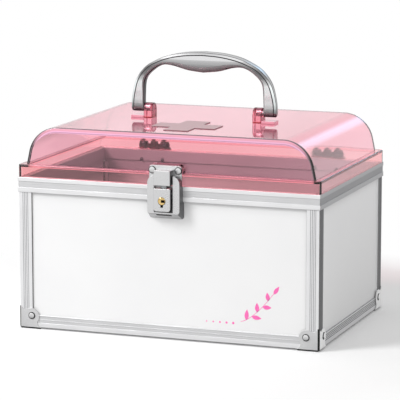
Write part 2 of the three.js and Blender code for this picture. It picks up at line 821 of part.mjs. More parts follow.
function makeHinges() {
  for (const [name, side] of [['left', -1], ['right', 1]]) {
    const place = { x: side * hingeX };
    add(`hinge_upper_leaf_${name}`, upperLeaf(), steel, place);
    add(`hinge_lower_leaf_${name}`, lowerLeaf(), steel, place);
    add(`hinge_pin_${name}`, hingePin(), darkSteel, place);
    for (const [end, sign] of [['a', -1], ['b', 1]]) {
      // Rivets point inwards, towards -y, so each is turned half round about z
      const x = side * hingeX + sign * leafLobeX;
      const y = boxDepth / 2 + leafSheet;
      const upper = rivetGeometry(hingeRivet, leafSheet + lidWall);
      const lower = rivetGeometry(hingeRivet, leafSheet + topRailWidth);
      add(`hinge_upper_rivet_${name}_${end}`, upper, steel, { x, y, z: upperLeafRivetZ, turn: Math.PI });
      add(`hinge_lower_rivet_${name}_${end}`, lower, steel, { x, y, z: lowerLeafRivetZ, turn: Math.PI });
    }
  }
}

// Latch. Distances forwards of the rail's front face are turned into y by ahead

function ahead(distance) {
  return -boxDepth / 2 - distance;
}

function between(back, front) {
  return [ahead(front), ahead(back)];
}

function above(rise) {
  return frameHeight + rise;
}

const leverPivotZ = above(-leverPivotDrop);
const lockZ = above(-lockDrop);

// Lid side: a plate with a hollow block, open below, and a ledge inside it for the hook
function catchPlate() {
  const plate = prism(
    roundedOutline(catchHalfWidth, above(catchBottomRise), above(catchTopRise), 0, catchCornerRadius),
    'y',
    ...between(0, catchSheet),
  );
  const inside = blockHalfWidth - blockWall;
  const body = prism(
    roundedOutline(blockHalfWidth, above(blockBottomRise), above(blockTopRise), 0, blockCornerRadius),
    'y',
    ...between(catchSheet / 2, blockFront),
    leverEdge,
  );
  const hollow = block(
    [-inside, inside],
    between(catchSheet, blockFront - blockWall),
    [above(blockBottomRise - past), above(blockTopRise - blockWall)],
  );
  const ledge = block(
    [-inside - blockWall / 2, inside + blockWall / 2],
    between(ledgeInnerFace, blockFront - blockWall / 2),
    [above(ledgeRise), above(ledgeRise + ledgeThickness)],
  );
  const holes = [-catchRivetX, catchRivetX].map((x) => (
    rod('y', catchRivet.shank + fit, between(-past, catchSheet + past), x, above(catchRivetRise))
  ));
  return cut(unite(plate, cut(body, hollow), ledge), ...holes);
}

// Body side: a frame that flares towards the wall, open at the top for the block and hollow for the lever
function latchTray() {
  const bottom = above(-trayBottomDrop);
  const top = above(trayTopRise);
  const outline = roundedOutline(trayFrontHalfWidth, bottom, top, trayBottomCornerRadius, trayTopCornerRadius);
  const cast = prism(outline, 'y', ...between(-panelOuter - trayEdge - past, trayFront), trayEdge);
  const position = cast.attributes.position;
  const widen = trayBackHalfWidth / trayFrontHalfWidth - 1;
  for (let i = 0; i < position.count; i += 1) {
    const back = (position.getY(i) - ahead(trayFront)) / trayFront;
    position.setX(i, position.getX(i) * (1 + widen * back));
    const lower = position.getZ(i) < (bottom + top) / 2;
    if (lower) position.setZ(i, position.getZ(i) - trayBottomFlare * back);
  }
  const wide = [-boxWidth, boxWidth];
  const high = above(2 * trayTopRise);
  const inside = -2 * topRailWidth;
  const railBottom = frameHeight - topRailHeight;
  const behindPanel = block(wide, between(inside, -panelOuter), [0, high]);
  const behindRail = block(wide, between(inside, 0), [railBottom - fit, high]);
  const behindCatch = block(wide, between(inside, catchSheet + runningGap), [frameHeight, high]);
  const channel = block(
    [-channelHalfWidth, channelHalfWidth],
    between(inside, trayFront + past),
    [above(-channelFloorDrop), high],
  );
  const slot = block(
    [-fingerSlotHalfWidth, fingerSlotHalfWidth],
    between(fingerSlotBack, fingerSlotFront),
    [bottom - 2 * trayBottomFlare, above(-channelFloorDrop) + past],
  );
  const frame = cut(cast, behindPanel, behindRail, behindCatch, channel, slot);
  const keeper = block(
    [-keeperHalfWidth, keeperHalfWidth],
    between(keeperBack, keeperFront),
    [above(-channelFloorDrop) - past, above(-channelFloorDrop) + keeperHeight],
  );
  const pinReach = leverPinHalfLength + fit;
  const pinHole = rod('x', leverPinRadius + fit, [-pinReach, pinReach], ahead(leverPivotForward), leverPivotZ);
  const screwHoles = [-trayScrewX, trayScrewX].map((x) => (
    rod('y', trayScrewRadius + fit, between(-past, trayScrewBite + fit), x, trayScrewZ)
  ));
  return cut(unite(frame, keeper), pinHole, ...screwHoles);
}

// The lever: a block below its pivot, with a slot in its top that holds the hook's foot
function latchLever() {
  const [bottom, top] = [above(-leverBottomDrop), above(-leverTopDrop)];
  const body = prism(
    roundedOutline(blockHalfWidth, bottom, top, leverCornerRadius, leverTopRadius),
    'y',
    ...between(leverBack, blockFront),
    leverEdge,
  );
  const slotHalfWidth = hookHalfWidth + fit;
  const seat = block(
    [-slotHalfWidth - hookSeatWall, slotHalfWidth + hookSeatWall],
    between(hookBack - hookSeatWall, hookShankFront),
    [above(-hookFootDrop), top - leverEdge],
  );
  const slot = block(
    [-slotHalfWidth, slotHalfWidth],
    between(hookBack, hookShankFront + fit),
    [above(-hookFootDrop), top + past],
  );
  const pinHole = rod(
    'x',
    leverPinRadius + fit,
    [-blockHalfWidth - past, blockHalfWidth + past],
    ahead(leverPivotForward),
    leverPivotZ,
  );
  const lockReach = between(leverBack - past, blockFront + past);
  const lockHole = rod('y', lockRadius + fit, lockReach, 0, lockZ, lockFlats);
  const notch = block(
    [-keyNotchHalfWidth, keyNotchHalfWidth],
    between(blockFront - keyNotchDepth, blockFront + past),
    [above(-keyNotchDrop), lockZ],
  );
  return cut(unite(body, seat), slot, pinHole, lockHole, notch);
}

// The hook: a steel strip that stands in the lever and reaches up behind the catch block's ledge, with a
// nose that closes over the ledge when the lever is pressed home
function latchHook() {
  const noseBottom = above(ledgeRise + ledgeThickness + hookNoseGap);
  const top = noseBottom + hookNoseHeight;
  return prism(
    polygon([
      [ahead(hookBack), above(-hookFootDrop)],
      [ahead(hookBack), top],
      [ahead(hookNoseFront), top],
      [ahead(hookNoseFront), noseBottom],
      [ahead(hookShankFront), noseBottom],
      [ahead(hookShankFront), above(-hookFootDrop)],
    ]),
    'x',
    -hookHalfWidth,
    hookHalfWidth,
  );
}

function lockCylinder() {
  const front = blockFront + lockProud;
  const cylinder = rod('y', lockRadius, between(camBack + camThickness, front), 0, lockZ, lockFlats);
  const keyway = block(
    [keywayLeft, keywayRight],
    between(front - keywayDepth, front + past),
    [lockZ - keywayHalfHeight, lockZ + keywayHalfHeight],
  );
  const screwEnd = camBack + camScrewLength;
  const screwHole = rod('y', camScrewShank + fit, between(camBack, screwEnd + fit), 0, lockZ);
  return cut(cylinder, keyway, screwHole);
}

// The cam points to the right when unlocked and down, behind the keeper, when locked
function lockCam() {
  const span = between(camBack, camBack + camThickness);
  const arm = block([0, camReach - camHalfWidth], span, [lockZ - camHalfWidth, lockZ + camHalfWidth]);
  const hub = rod('y', lockRadius - fit, span, 0, lockZ);
  const end = rod('y', camHalfWidth, span, camReach - camHalfWidth, lockZ);
  const hole = rod('y', camScrewShank + fit, between(camBack - past, camBack + camThickness + past), 0, lockZ);
  return cut(unite(arm, hub, end), hole);
}

function camScrew() {
  const outline = [
    [0, 0],
    [camScrewRadius * crownIn, 0],
    [camScrewRadius, camScrewHead * crownUp],
    [camScrewRadius, camScrewHead],
    [camScrewShank, camScrewHead],
    [camScrewShank, camScrewHead + camScrewLength],
    [0, camScrewHead + camScrewLength],
  ];
  // The axis turns to point forwards, away from the rail
  return turned(outline).rotateX(Math.PI).translate(0, ahead(camBack - camScrewHead), lockZ);
}

function trayScrew(x) {
  const inside = -topRailWidth;
  const outline = [
    [0, 0],
    [trayScrewHeadRadius * crownIn, 0],
    [trayScrewHeadRadius, trayScrewHeadHeight * crownUp],
    [trayScrewHeadRadius, trayScrewHeadHeight],
    [trayScrewRadius, trayScrewHeadHeight],
    [trayScrewRadius, trayScrewHeadHeight + trayScrewBite - inside],
    [0, trayScrewHeadHeight + trayScrewBite - inside],
  ];
  return turned(outline).rotateX(Math.PI).translate(x, ahead(inside - trayScrewHeadHeight), trayScrewZ);
}

function makeLatch() {
  add('catch_plate', catchPlate(), steel);
  add('latch_tray', latchTray(), steel);
  add('latch_lever', latchLever(), steel);
  add('latch_hook', latchHook(), darkSteel);
  const pinSpan = [-leverPinHalfLength, leverPinHalfLength];
  const pin = rod('x', leverPinRadius, pinSpan, ahead(leverPivotForward), leverPivotZ);
  add('lever_pin', pin, darkSteel);
  add('lock_cylinder', lockCylinder(), brass);
  add('lock_cam', lockCam(), darkSteel);
  add('lock_cam_screw', camScrew(), darkSteel);
  for (const [name, side] of [['left', -1], ['right', 1]]) {
    const rivet = rivetGeometry(catchRivet, catchSheet + domeInset + lidWall);
    const place = { x: side * catchRivetX, y: ahead(catchSheet), z: above(catchRivetRise) };
    add(`catch_rivet_${name}`, rivet, steel, place);
    add(`latch_tray_screw_${name}`, trayScrew(side * trayScrewX), darkSteel);
  }
}

makeBody();
makeLid();
makeHinges();
makeLatch();

export default lockBox;
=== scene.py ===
# A portable lock box for medication: white board walls in an aluminium frame, a clear pink domed lid, a
# chrome bail handle, two rear hinges and a key-locked latch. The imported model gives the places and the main
# sizes. Shapes are drawn in millimetres in its frame, with +X right, +Y to the back and +Z up.

import json
import math
from functools import partialmethod

import bmesh
import bpy
from mathutils import Matrix, Vector
from mathutils.kdtree import KDTree


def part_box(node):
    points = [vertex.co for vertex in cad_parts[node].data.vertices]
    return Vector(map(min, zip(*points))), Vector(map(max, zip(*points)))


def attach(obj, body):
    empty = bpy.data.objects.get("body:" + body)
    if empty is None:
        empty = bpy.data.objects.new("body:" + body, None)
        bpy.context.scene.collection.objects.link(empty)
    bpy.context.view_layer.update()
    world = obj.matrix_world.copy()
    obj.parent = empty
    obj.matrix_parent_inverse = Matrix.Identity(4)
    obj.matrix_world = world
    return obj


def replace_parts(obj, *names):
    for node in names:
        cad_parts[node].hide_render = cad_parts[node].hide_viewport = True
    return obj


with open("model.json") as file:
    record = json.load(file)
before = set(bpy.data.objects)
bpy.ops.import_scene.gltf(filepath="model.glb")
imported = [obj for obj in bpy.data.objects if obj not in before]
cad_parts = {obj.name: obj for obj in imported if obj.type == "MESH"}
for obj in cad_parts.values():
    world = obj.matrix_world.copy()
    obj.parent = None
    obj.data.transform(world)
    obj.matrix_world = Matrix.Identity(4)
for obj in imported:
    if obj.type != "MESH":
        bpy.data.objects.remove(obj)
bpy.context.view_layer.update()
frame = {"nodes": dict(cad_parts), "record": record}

MM = 0.001


def box_mm(node):
    """A CAD node's lowest and highest corners, in millimetres."""
    low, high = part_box(node)
    return Vector(low) / MM, Vector(high) / MM


# Sizes read from the model
LOW_CORNER, HIGH_CORNER = box_mm("corner_bracket_front_left")[0], box_mm("corner_bracket_rear_right")[1]
HALF_WIDTH = HIGH_CORNER.x
FRONT, REAR = LOW_CORNER.y, HIGH_CORNER.y
HALF_DEPTH = (REAR - FRONT) / 2
MID_Y = (REAR + FRONT) / 2
RAIL_LOW, RAIL_HIGH = box_mm("front_top_rail")
TOP_RAIL_BOTTOM, FRAME_TOP = RAIL_LOW.z, RAIL_HIGH.z
TOP_RAIL_WIDTH = RAIL_HIGH.y - FRONT
RIM_BOTTOM = box_mm("lid_shell")[0].z
LID_TOP = box_mm("cross_emblem")[0].z
PIVOT_Z = sum(corner.z for corner in box_mm("handle_pin_right")) / 2
PIVOT_RADIUS = box_mm("handle_pin_right")[1].z - PIVOT_Z
HANDLE_RISE = box_mm("handle")[1].z - PIVOT_Z

# Clearance in the fits, how far a cutting tool runs past what it cuts, the margins within which a face's
# middle counts as lying on a plane, and how far a normal has to point one way to count as facing it
FIT = 0.25
PAST = 1.0
NEAR = 0.05
MARGIN = 0.1
FACING = 0.8

# The frame's extrusions. Depths are inwards from a side's outer face, and EDGE_SHADE is the width of the
# strips of painted shade along the edges of the posts' side faces
SHEET = 1.0
SKIN = 1.5
EDGE_LEG = 13.5
INNER_SKIN = 1.0
INNER_LEG = 10.25
PANEL_FACE = SHEET + SKIN
PANEL_THICKNESS = 4.0
PANEL_BACK = PANEL_FACE + PANEL_THICKNESS
CORE = PANEL_BACK + INNER_SKIN
PANEL_EDGE = CORE + FIT
PANEL_ROUND = 0.3
EDGE_ROUND = 0.4
EDGE_SHADE = 1.8
GROOVES_NEAR_CORNER = 3.5
GROOVES_NEAR_PANEL = 5.5
GROOVE_DEPTH = 0.36
GROOVE_MARGINS = (0.06, 0.3)
BOTTOM_ROUND = 1.2
UPPER_BAND = 4.0
LOWER_BAND = 4.75
BAND_RECESS = 0.5
BAND_ROUND = 0.15
FLANGE = 1.5
TOP_RAIL_INNER_DEPTH = 12.0
MITRE_GAP = 0.1875

# Grooves in a leg's outer face: how many, their pitch, and one groove's corners, each with its distance
# along the leg, its depth and its rounding
FINE_GROOVES = (4, 1.75, ((0, 0, 0.12), (0.4, GROOVE_DEPTH, 0.1), (0.8, 0, 0.12)))
WIDE_GROOVES = (2, 3.65, ((0, 0, 0.1), (0, GROOVE_DEPTH, 0.1), (3.25, GROOVE_DEPTH, 0.1), (3.25, 0, 0.1)))

# Corner brackets
BRACKET_REACH = 23.0
BRACKET_TAB = 2.0
BRACKET_SHOULDER = 3.5
BRACKET_CHAMFER = 1.8
BRACKET_EDGE = 0.3
BRACKET_RIVET_INSET = 13.75
LOBE_CENTRE = 12.75
LOBE_RADIUS = 8.75
LOBE_START = -40.0

# Rivets: radius and height of the head, radius of the shank, radius and height of the tail
BRACKET_RIVET = (3.75, 1.4, 1.5, 2.25, 1.0)
HINGE_RIVET = (2.75, 1.25, 1.25, 2.0, 1.0)
CATCH_RIVET = (3.9, 1.3, 1.25, 2.0, 1.0)

# The section of a head from its crown outwards and of a tail inwards, as shares of radius and height. Then
# the radii of their flat tips, and the inner and outer radius of the groove painted black as shade, and how
# high it reaches
RIVET_HEAD = (
    (0.4, 0.98), (0.66, 0.92), (0.78, 0.78), (0.82, 0.3), (0.87, 0.3), (0.9, 0.48), (0.96, 0.45), (1, 0.25),
)
RIVET_TAIL = ((0.95, 0.5), (0.7, 0.9))
RIVET_TIPS = (0.3, 0.2)
RIVET_GROOVE = (0.79, 0.995, 0.66)

# Lid
LID_WALL = 2.75
RIM_TOP = RIM_BOTTOM + 12.75
RIM_CORNER = 4.0
RIM_EDGE = 1.25
RIM_FOOT_EDGE = 0.3
DOME_INSET = 6.75
DOME_END_RADIUS = 32.0
DOME_LEAN = math.radians(12)
DOME_ROOT = 2.0
DOME_EDGE = 1.5
PAD_HALF_WIDTH = 18.0
PAD_HEIGHT = 8.5
PAD_CORNER = 5.0
PAD_EDGE = 0.4
CROSS_SPAN = 68.0
CROSS_ARM = 26.0
CROSS_FORWARD = 50.5
CROSS_HEIGHT = 0.75
CROSS_CORNERS = (0.5, 0.3)
CROSS_EDGE = 0.2

# Handle and its lugs
LUG_INNER, LUG_OUTER, LUG_FOOT = 54.5, 64.0, 78.0
LUG_HALF_DEPTH = 7.25
LUG_HEIGHT = 15.5
LUG_FOOT_HALF_DEPTH = 7.0
LUG_FOOT_HEIGHT = 2.5
LUG_FOOT_GAPS = (0.05, 0.02)
LUG_ROOT = 0.75
LUG_EDGE = 0.9
PIN_BLIND_WALL = 3.0
PIN_EDGE = 0.4
LEG_INNER, LEG_OUTER = 65.0, 79.0
LEG_BORE = 6.25
LEG_HALF_THICKNESS = 4.0
GRIP_HALF_THICKNESS = 8.5

# Hinges
HINGE_X = HALF_WIDTH - 63.0
LEAF_HALF_LENGTH = 17.5
LEAF_SHEET = 1.25
MIDDLE_KNUCKLE = 5.75
KNUCKLE_GAP = 0.5
KNUCKLE_RADIUS = 2.25
KNUCKLE_EDGE = 0.25
LEAF_EDGE = 0.2
HINGE_PIN_Y = REAR + 2.5
HINGE_PIN_Z = FRAME_TOP + 0.125
LEAF_LOBE_X = 12.0
LEAF_LOBE = 5.0
LEAF_MIDDLE_LOBE = 4.25
UPPER_RIVET_Z = FRAME_TOP + 6.25
LOWER_RIVET_Z = FRAME_TOP - 10.25

# Latch. Distances forwards of the front rail's face are turned into y by ahead
CATCH_HALF_WIDTH = 17.25
CATCH_SHEET = 1.25
CATCH_EDGE = 0.35
CATCH_HEIGHTS = (FRAME_TOP + 1.0, FRAME_TOP + 20.5)
CATCH_CORNERS = (0, 3.0)
CATCH_RIVET_X = 13.75
CATCH_RIVET_Z = FRAME_TOP + 15.75
BLOCK_HALF_WIDTH = 8.625
BLOCK_FRONT = 11.75
BLOCK_HEIGHTS = (FRAME_TOP + 1.75, FRAME_TOP + 16.75)
BLOCK_WALL = 1.25
BLOCK_CORNERS = (0.4, 1.0)
BLOCK_EDGE = 0.5
LEDGE_HEIGHTS = (FRAME_TOP + 7.0, FRAME_TOP + 8.25)
LEDGE_BACK = 8.25
TRAY_HALF_WIDTHS = (17.0, 18.0)
TRAY_FRONT = 7.625
TRAY_HEIGHTS = (FRAME_TOP - 27.25, FRAME_TOP + 11.25)
TRAY_TOP_CORNER = 8.0
TRAY_BOTTOM_CORNER = 3.0
TRAY_FLARE = 4.5
TRAY_EDGE = 0.35
TRAY_INNER_EDGE = 0.3
TRAY_RUNNING_GAP = 0.3125
CHANNEL_HALF_WIDTH = 10.0
CHANNEL_FLOOR = FRAME_TOP - 25.75
FINGER_SLOT_HALF_WIDTH = 8.0
FINGER_SLOT_DEPTHS = (4.25, 6.75)
KEEPER_HALF_WIDTH = 3.0
KEEPER_DEPTHS = (3.0, 3.75)
KEEPER_HEIGHT = 4.75
LEVER_HEIGHTS = (FRAME_TOP - 24.25, FRAME_TOP - 1.25)
LEVER_BACK = 5.25
LEVER_CORNERS = (2.5, 1.0)
LEVER_PIN_AHEAD = 5.0
LEVER_PIN_Z = FRAME_TOP - 7.0
LEVER_PIN_RADIUS = 1.25
HOOK_HALF_WIDTH = 3.0
HOOK_DEPTHS = (5.5, 6.75, 7.75)
HOOK_HEIGHTS = (FRAME_TOP - 5.0, LEDGE_HEIGHTS[1] + 0.375, LEDGE_HEIGHTS[1] + 1.875)
HOOK_ROUND = 0.3
HOOK_EDGE = 0.15
HOOK_SEAT_WALL = 1.25
LOCK_Z = FRAME_TOP - 13.75
LOCK_RADIUS = 3.875
LOCK_BACK = 2.75
LOCK_FRONT = BLOCK_FRONT + 0.25
LOCK_RIM = ((0, 0.35), (0.12, 0.12), (0.4, 0), (1.1, 0), (1.25, 0.15))
KEYWAY_X = (-0.875, 3.375)
KEYWAY_HALF_HEIGHT = 1.375
KEYWAY_DEPTH = 4.0
KEYWAY_NEAR = 0.02
NOTCH_HALF_WIDTH = 1.375
NOTCH_BOTTOM = FRAME_TOP - 20.0
NOTCH_DEPTH = 2.5

# Camera, from the photograph's perspective
CAMERA_YAW = math.radians(20.02)
CAMERA_PITCH = math.radians(9.86)
CAMERA_DISTANCE = 2.5636
CAMERA_AIM = Vector((-0.00452, MID_Y * MM, 0.1234))
FOCAL_PIXELS = 2481.9
IMAGE_PIXELS = 400
SENSOR_MM = 36
CAMERA_REACH = 50

# Light
WORLD_LEVEL = 0.62
KEY_FROM = Vector((-1.0, -1.0, 1.1))
KEY_AIM = Vector((0, 0, 0.1))
KEY_DISTANCE = 1.9
KEY_SIZE = 0.7
KEY_LEVEL = 0.64
FLOOR_HALF_SIZE = 8.0
FLOOR_LIFT = 0.14
SHADOW_REACH = (0.31, 0.41)
WHITE = (1, 1, 1, 1)

# The studio as reflections see it, by direction: its levels low down and level with the box and where those
# lie, and where the bright strip's edges fade, to the left, to the right, behind and below
REFLECTED_LEVELS = (0.12, 1.0, -0.8, 0.0)
STRIP_LEFT = (-0.12, 0.02)
STRIP_RIGHT = (0.08, 0.2)
STRIP_BACK = (0.6, 0.8)
STRIP_FOOT = (0.2, 0.3)
STRIP_TINT = (1.5, 2.0, 2.5, 1)


# Names of paired pieces, and on which side of the middle each is
PAIR = {"left": -1, "right": 1}
ENDS = {"a": -1, "b": 1}


def centred(half, middle=0):
    return middle - half, middle + half


def dome_centre():
    """The centre of the dome's rounded right end, in x and z."""
    centre_z = LID_TOP - DOME_END_RADIUS
    sideways = (DOME_END_RADIUS - math.sin(DOME_LEAN) * (RIM_TOP - centre_z)) / math.cos(DOME_LEAN)
    return HALF_WIDTH - DOME_INSET - sideways, centre_z


# Shader nodes


class Value:
    """What a node gives. Signs and comparisons between values add the nodes that work them out."""

    def __init__(self, nodes, socket):
        self.nodes, self.socket = nodes, socket

    def math(self, operation, other=0.0):
        return self.nodes.add("Math", {0: self, 1: other}, operation=operation)

    __add__ = partialmethod(math, "ADD")
    __sub__ = partialmethod(math, "SUBTRACT")
    __mul__ = partialmethod(math, "MULTIPLY")
    __lt__ = partialmethod(math, "LESS_THAN")
    __gt__ = partialmethod(math, "GREATER_THAN")
    __abs__ = partialmethod(math, "ABSOLUTE")
    at_least = partialmethod(math, "MAXIMUM")

    def __rsub__(self, other):
        return self.nodes.add("Math", {0: other, 1: self}, operation="SUBTRACT")

    def above(self, height):
        """1 where this value lies above a number of millimetres, else 0."""
        return self > height * MM

    def below(self, height):
        return self < height * MM

    def mapped(self, low, high, from_low=0.3, from_high=0.7, **settings):
        """A value that goes from low to high as this one goes from from_low to from_high."""
        ends = {"From Min": from_low, "From Max": from_high, "To Min": low, "To Max": high}
        return self.nodes.add("MapRange", {"Value": self, **ends}, **settings)

    def passing(self, start, end, low=0.0, high=1.0):
        """A value that goes from low to high as this one passes between two numbers of millimetres."""
        return self.mapped(low, high, start * MM, end * MM)

    def rising(self, top, depths, low=0.0, high=1.0):
        """A value that goes from low to high as this one rises between two depths below a top."""
        return self.passing(*(top - depth for depth in depths), low, high)

    def tones(self, dark, light, from_low=0.3, from_high=0.7):
        """A colour that goes from dark to light with this value."""
        return self.mapped(0.0, 1.0, from_low, from_high).mix((*dark, 1.0), (*light, 1.0))

    def mix(self, first, second):
        """The first colour where this value is 0, the second where it is 1."""
        return self.nodes.add("Mix", {0: self, 6: first, 7: second}, output=2, data_type="RGBA")

    def choose(self, first, second):
        """The first shader where this value is 0, the second where it is 1."""
        return self.nodes.add("MixShader", {0: self, 1: first, 2: second})


class Nodes:
    """The node tree of a material or of the world, with one short call for each node."""

    def __init__(self, owner):
        owner.use_nodes = True
        self.owner, self.tree = owner, owner.node_tree
        self.tree.nodes.clear()

    def add(self, kind, inputs=None, output=0, **settings):
        """Adds a node and returns one of its outputs."""
        made = self.tree.nodes.new("ShaderNode" + kind)
        for name, value in settings.items():
            setattr(made, name, value)
        for name, value in (inputs or {}).items():
            if isinstance(value, Value):
                self.tree.links.new(value.socket, made.inputs[name])
            else:
                made.inputs[name].default_value = value
        return Value(self, made.outputs[output])

    def place(self):
        """The point's place in the model's frame at rest, in metres."""
        return self.add("TexCoord", output="Object")

    def split(self, vector):
        return [self.add("SeparateXYZ", {0: vector}, output=i) for i in range(3)]

    def noise(self, scale, detail=3.0, vector=None):
        inputs = {"Vector": vector or self.place(), "Scale": scale, "Detail": detail}
        return self.add("TexNoise", inputs, output="Fac")

    def grain(self, scale, detail):
        """Noise with its own number of grains a metre along x, y and z."""
        stretched = self.add("VectorMath", {0: self.place(), 1: scale}, operation="MULTIPLY")
        return self.noise(1.0, detail, stretched)

    def principled(self, colour, roughness, **more):
        return self.add("BsdfPrincipled", {"Base Color": colour, "Roughness": roughness, **more})

    def bump(self, height, strength, depth):
        return self.add("Bump", {"Height": height, "Strength": strength, "Distance": depth * MM})

    def light_path(self, ray):
        return self.add("LightPath", output=f"Is {ray} Ray")

    def finish(self, surface, kind="Material", **more):
        out = self.tree.nodes.new("ShaderNodeOutput" + kind)
        for name, value in {"Surface": surface, **more}.items():
            self.tree.links.new(value.socket, out.inputs[name])
        return self.owner


def new_material(name):
    return Nodes(bpy.data.materials.new(name))


# The grains of metals, as their number a metre along x, y and z, the part of the noise's range in use, and
# the share of the fine grain beside the patches
ALONG_X = (25.0, 2500.0, 2500.0)
ALONG_Y = (2500.0, 25.0, 2500.0)
ALONG_Z = (2500.0, 2500.0, 25.0)
ALL_WAYS = (900.0, 900.0, 900.0)
PATCHES = (30.0, 30.0, 30.0)
METAL_SPREAD = (0.35, 0.65)
STREAK_SHARE = 0.6

# Scales of the noise on plastics, on the boards, on the lid and on the floor
MOTTLE = 400.0
CLOUDS = 9.0
PEEL = 1400.0
RIPPLE = 14.0
SMEARS = 60.0
PAPER = 3.0


def metal_material(name, dark, light, roughness, metallic=1.0, depth=0.02, grain=ALL_WAYS):
    """A metal with a fine grain and broad faint patches."""
    nodes = new_material(name)
    streaks = nodes.grain(grain, 4.0)
    spread = streaks * STREAK_SHARE + nodes.grain(PATCHES, 2.0) * (1 - STREAK_SHARE)
    return nodes.finish(nodes.principled(
        spread.tones(dark, light, *METAL_SPREAD),
        spread.mapped(*roughness, *METAL_SPREAD),
        Metallic=metallic,
        Normal=nodes.bump(streaks, 0.3, depth),
    ))


def plain_material(name, dark, light, roughness, depth=0.03):
    """A plastic or print with a fine mottle."""
    nodes = new_material(name)
    mottle = nodes.noise(MOTTLE)
    return nodes.finish(nodes.principled(
        mottle.tones(dark, light), mottle.mapped(*roughness), Normal=nodes.bump(mottle, 0.25, depth),
    ))


# On the boards: how far in from the outer faces the inside starts, the depths below the frame's top between
# which the inside's painted shade turns lighter downwards, and how far down the painted shade under the top
# rail reaches
INSIDE_MARGIN = 5
INSIDE_FADE = (35, 25)
RAIL_SHADE = 14


def inside_colour(nodes):
    """The grey of the inside, with painted light and shade: a little lighter towards the right and lower
    down.
    """
    x, _, z = nodes.split(nodes.place())
    to_right = x.mapped(0.0, 0.8, -0.8 * HALF_WIDTH * MM, 0.7 * HALF_WIDTH * MM)
    down = z.rising(FRAME_TOP, INSIDE_FADE, 0.85, 0.0)
    return (to_right + down).tones((0.39, 0.395, 0.41), (0.68, 0.685, 0.71), 0.0, 1.0)


def inside_material():
    nodes = new_material("inside")
    clouds = nodes.noise(CLOUDS)
    return nodes.finish(nodes.principled(inside_colour(nodes), clouds.mapped(0.5, 0.6)))


def board_material():
    """White laminate outside, with an orange peel and a soft shade under the top rail, and grey inside."""
    nodes = new_material("white_board")
    x, y, z = nodes.split(nodes.place())
    within_x = abs(x).below(HALF_WIDTH - INSIDE_MARGIN)
    within_y = abs(y - MID_Y * MM).below(HALF_DEPTH - INSIDE_MARGIN)
    inside = within_x * within_y * z.above(INSIDE_MARGIN)
    clouds = nodes.noise(CLOUDS)
    clean = clouds.tones((0.775, 0.775, 0.78), (0.805, 0.805, 0.805))
    under_rail = z.passing(TOP_RAIL_BOTTOM - RAIL_SHADE, TOP_RAIL_BOTTOM)
    outside_colour = (under_rail * (under_rail * under_rail)).mix(clean, (0.6, 0.6, 0.605, 1.0))
    peel = nodes.noise(PEEL, 2.0)
    return nodes.finish(nodes.principled(
        inside.mix(outside_colour, inside_colour(nodes)),
        clouds.mapped(0.42, 0.52),
        **{"Specular IOR Level": 0.25},
        Normal=nodes.bump(peel, 0.08, 0.03),
    ))


# The lid's walls and top have one colour in the middle and another at the ends, painted light on the walls
# and painted shade on the top towards the ends. The fades are distances below the lid's or the rim's top,
# LUG_EDGE_WIDTHS are a lug's edges at its sides and on top, painted dark as shade, and its tint starts at
# LUG_TINT_RISE above the lid
WALL_PINKS = ((0.985, 0.72, 0.785, 1.0), (1.0, 0.82, 0.87, 1.0))
TOP_PINKS = ((0.985, 0.69, 0.77, 1.0), (0.85, 0.44, 0.53, 1.0))
RIM_PINK = (1.0, 0.72, 0.72, 1.0)
RIM_EDGE_HAZE = 0.4
LUG_EDGE_PINK = (0.38, 0.17, 0.22, 1.0)
TOP_FADE = (5, 3)
RIM_FADE = (1.5, 0.5)
END_FADE = (20, 2)
LUG_EDGE_WIDTHS = (1.0, 1.5)
LUG_TINT_RISE = 1

# The opaque strip along the outline of the dome's front and rear faces, painted in place of the light seen
# through the edge. It has a painted dark line along the outline, grey on top and black at the ends, as shade,
# and on the front two pale painted highlight lines inside it. Distances are inwards from the outline, and the
# strip's own foot is at STRIP_RISE above the rim
STRIP_PINK = (0.80, 0.36, 0.46, 1.0)
LINE_GREY = (0.20, 0.15, 0.17, 1.0)
LINE_BLACK = (0.012, 0.01, 0.011, 1.0)
HIGHLIGHT_LINE_PINK = (0.82, 0.44, 0.63, 1.0)
HIGHLIGHT_GAP_PINK = (0.52, 0.26, 0.37, 1.0)
EDGE_STRIP = 2.6
EDGE_LINE = 0.9
HIGHLIGHT_START = 3.2
HIGHLIGHT_END = 6.4
HIGHLIGHT_MIDDLE = 4.8
HIGHLIGHT_GAP = 0.4
STRIP_RISE = 0.2


def lid_tint(x, z):
    """The lid's colour: dome, rim below it, and lugs on top, with painted light and shade: the dome's walls
    lighter and its top darker towards the ends, and the lugs' edges painted dark.
    """
    near_end = abs(x).passing(0.3 * HALF_WIDTH, HALF_WIDTH)
    on_top = z.rising(LID_TOP, TOP_FADE)
    dome_tint = on_top.mix(near_end.mix(*WALL_PINKS), near_end.mix(*TOP_PINKS))
    above_rim = z.rising(RIM_TOP, RIM_FADE)
    beside, over = LUG_EDGE_WIDTHS
    lug_middle, lug_reach = (LUG_INNER + LUG_OUTER) / 2 * MM, ((LUG_OUTER - LUG_INNER) / 2 - beside) * MM
    lug_side = x.nodes.add("Math", {0: abs(x), 1: lug_middle, 2: lug_reach}, operation="COMPARE")
    lug_face = lug_side * z.below(LID_TOP + LUG_HEIGHT - over)
    dome_or_rim = above_rim.mix(RIM_PINK, dome_tint)
    return z.above(LID_TOP + LUG_TINT_RISE).mix(dome_or_rim, lug_face.mix(LUG_EDGE_PINK, WALL_PINKS[1]))


def dome_depth(x, z):
    """How far a point of the dome's front or rear face lies inside the dome's outline, in metres."""
    centre_x, centre_z = dome_centre()
    along = (abs(x) - centre_x * MM).at_least(0.0)
    up = z - centre_z * MM
    cos, sin = math.cos(DOME_LEAN), math.sin(DOME_LEAN)
    out = along * cos + up * sin
    past = (up * cos - along * sin).at_least(0.0)
    return DOME_END_RADIUS * MM - (out * out + past * past).math("SQRT")


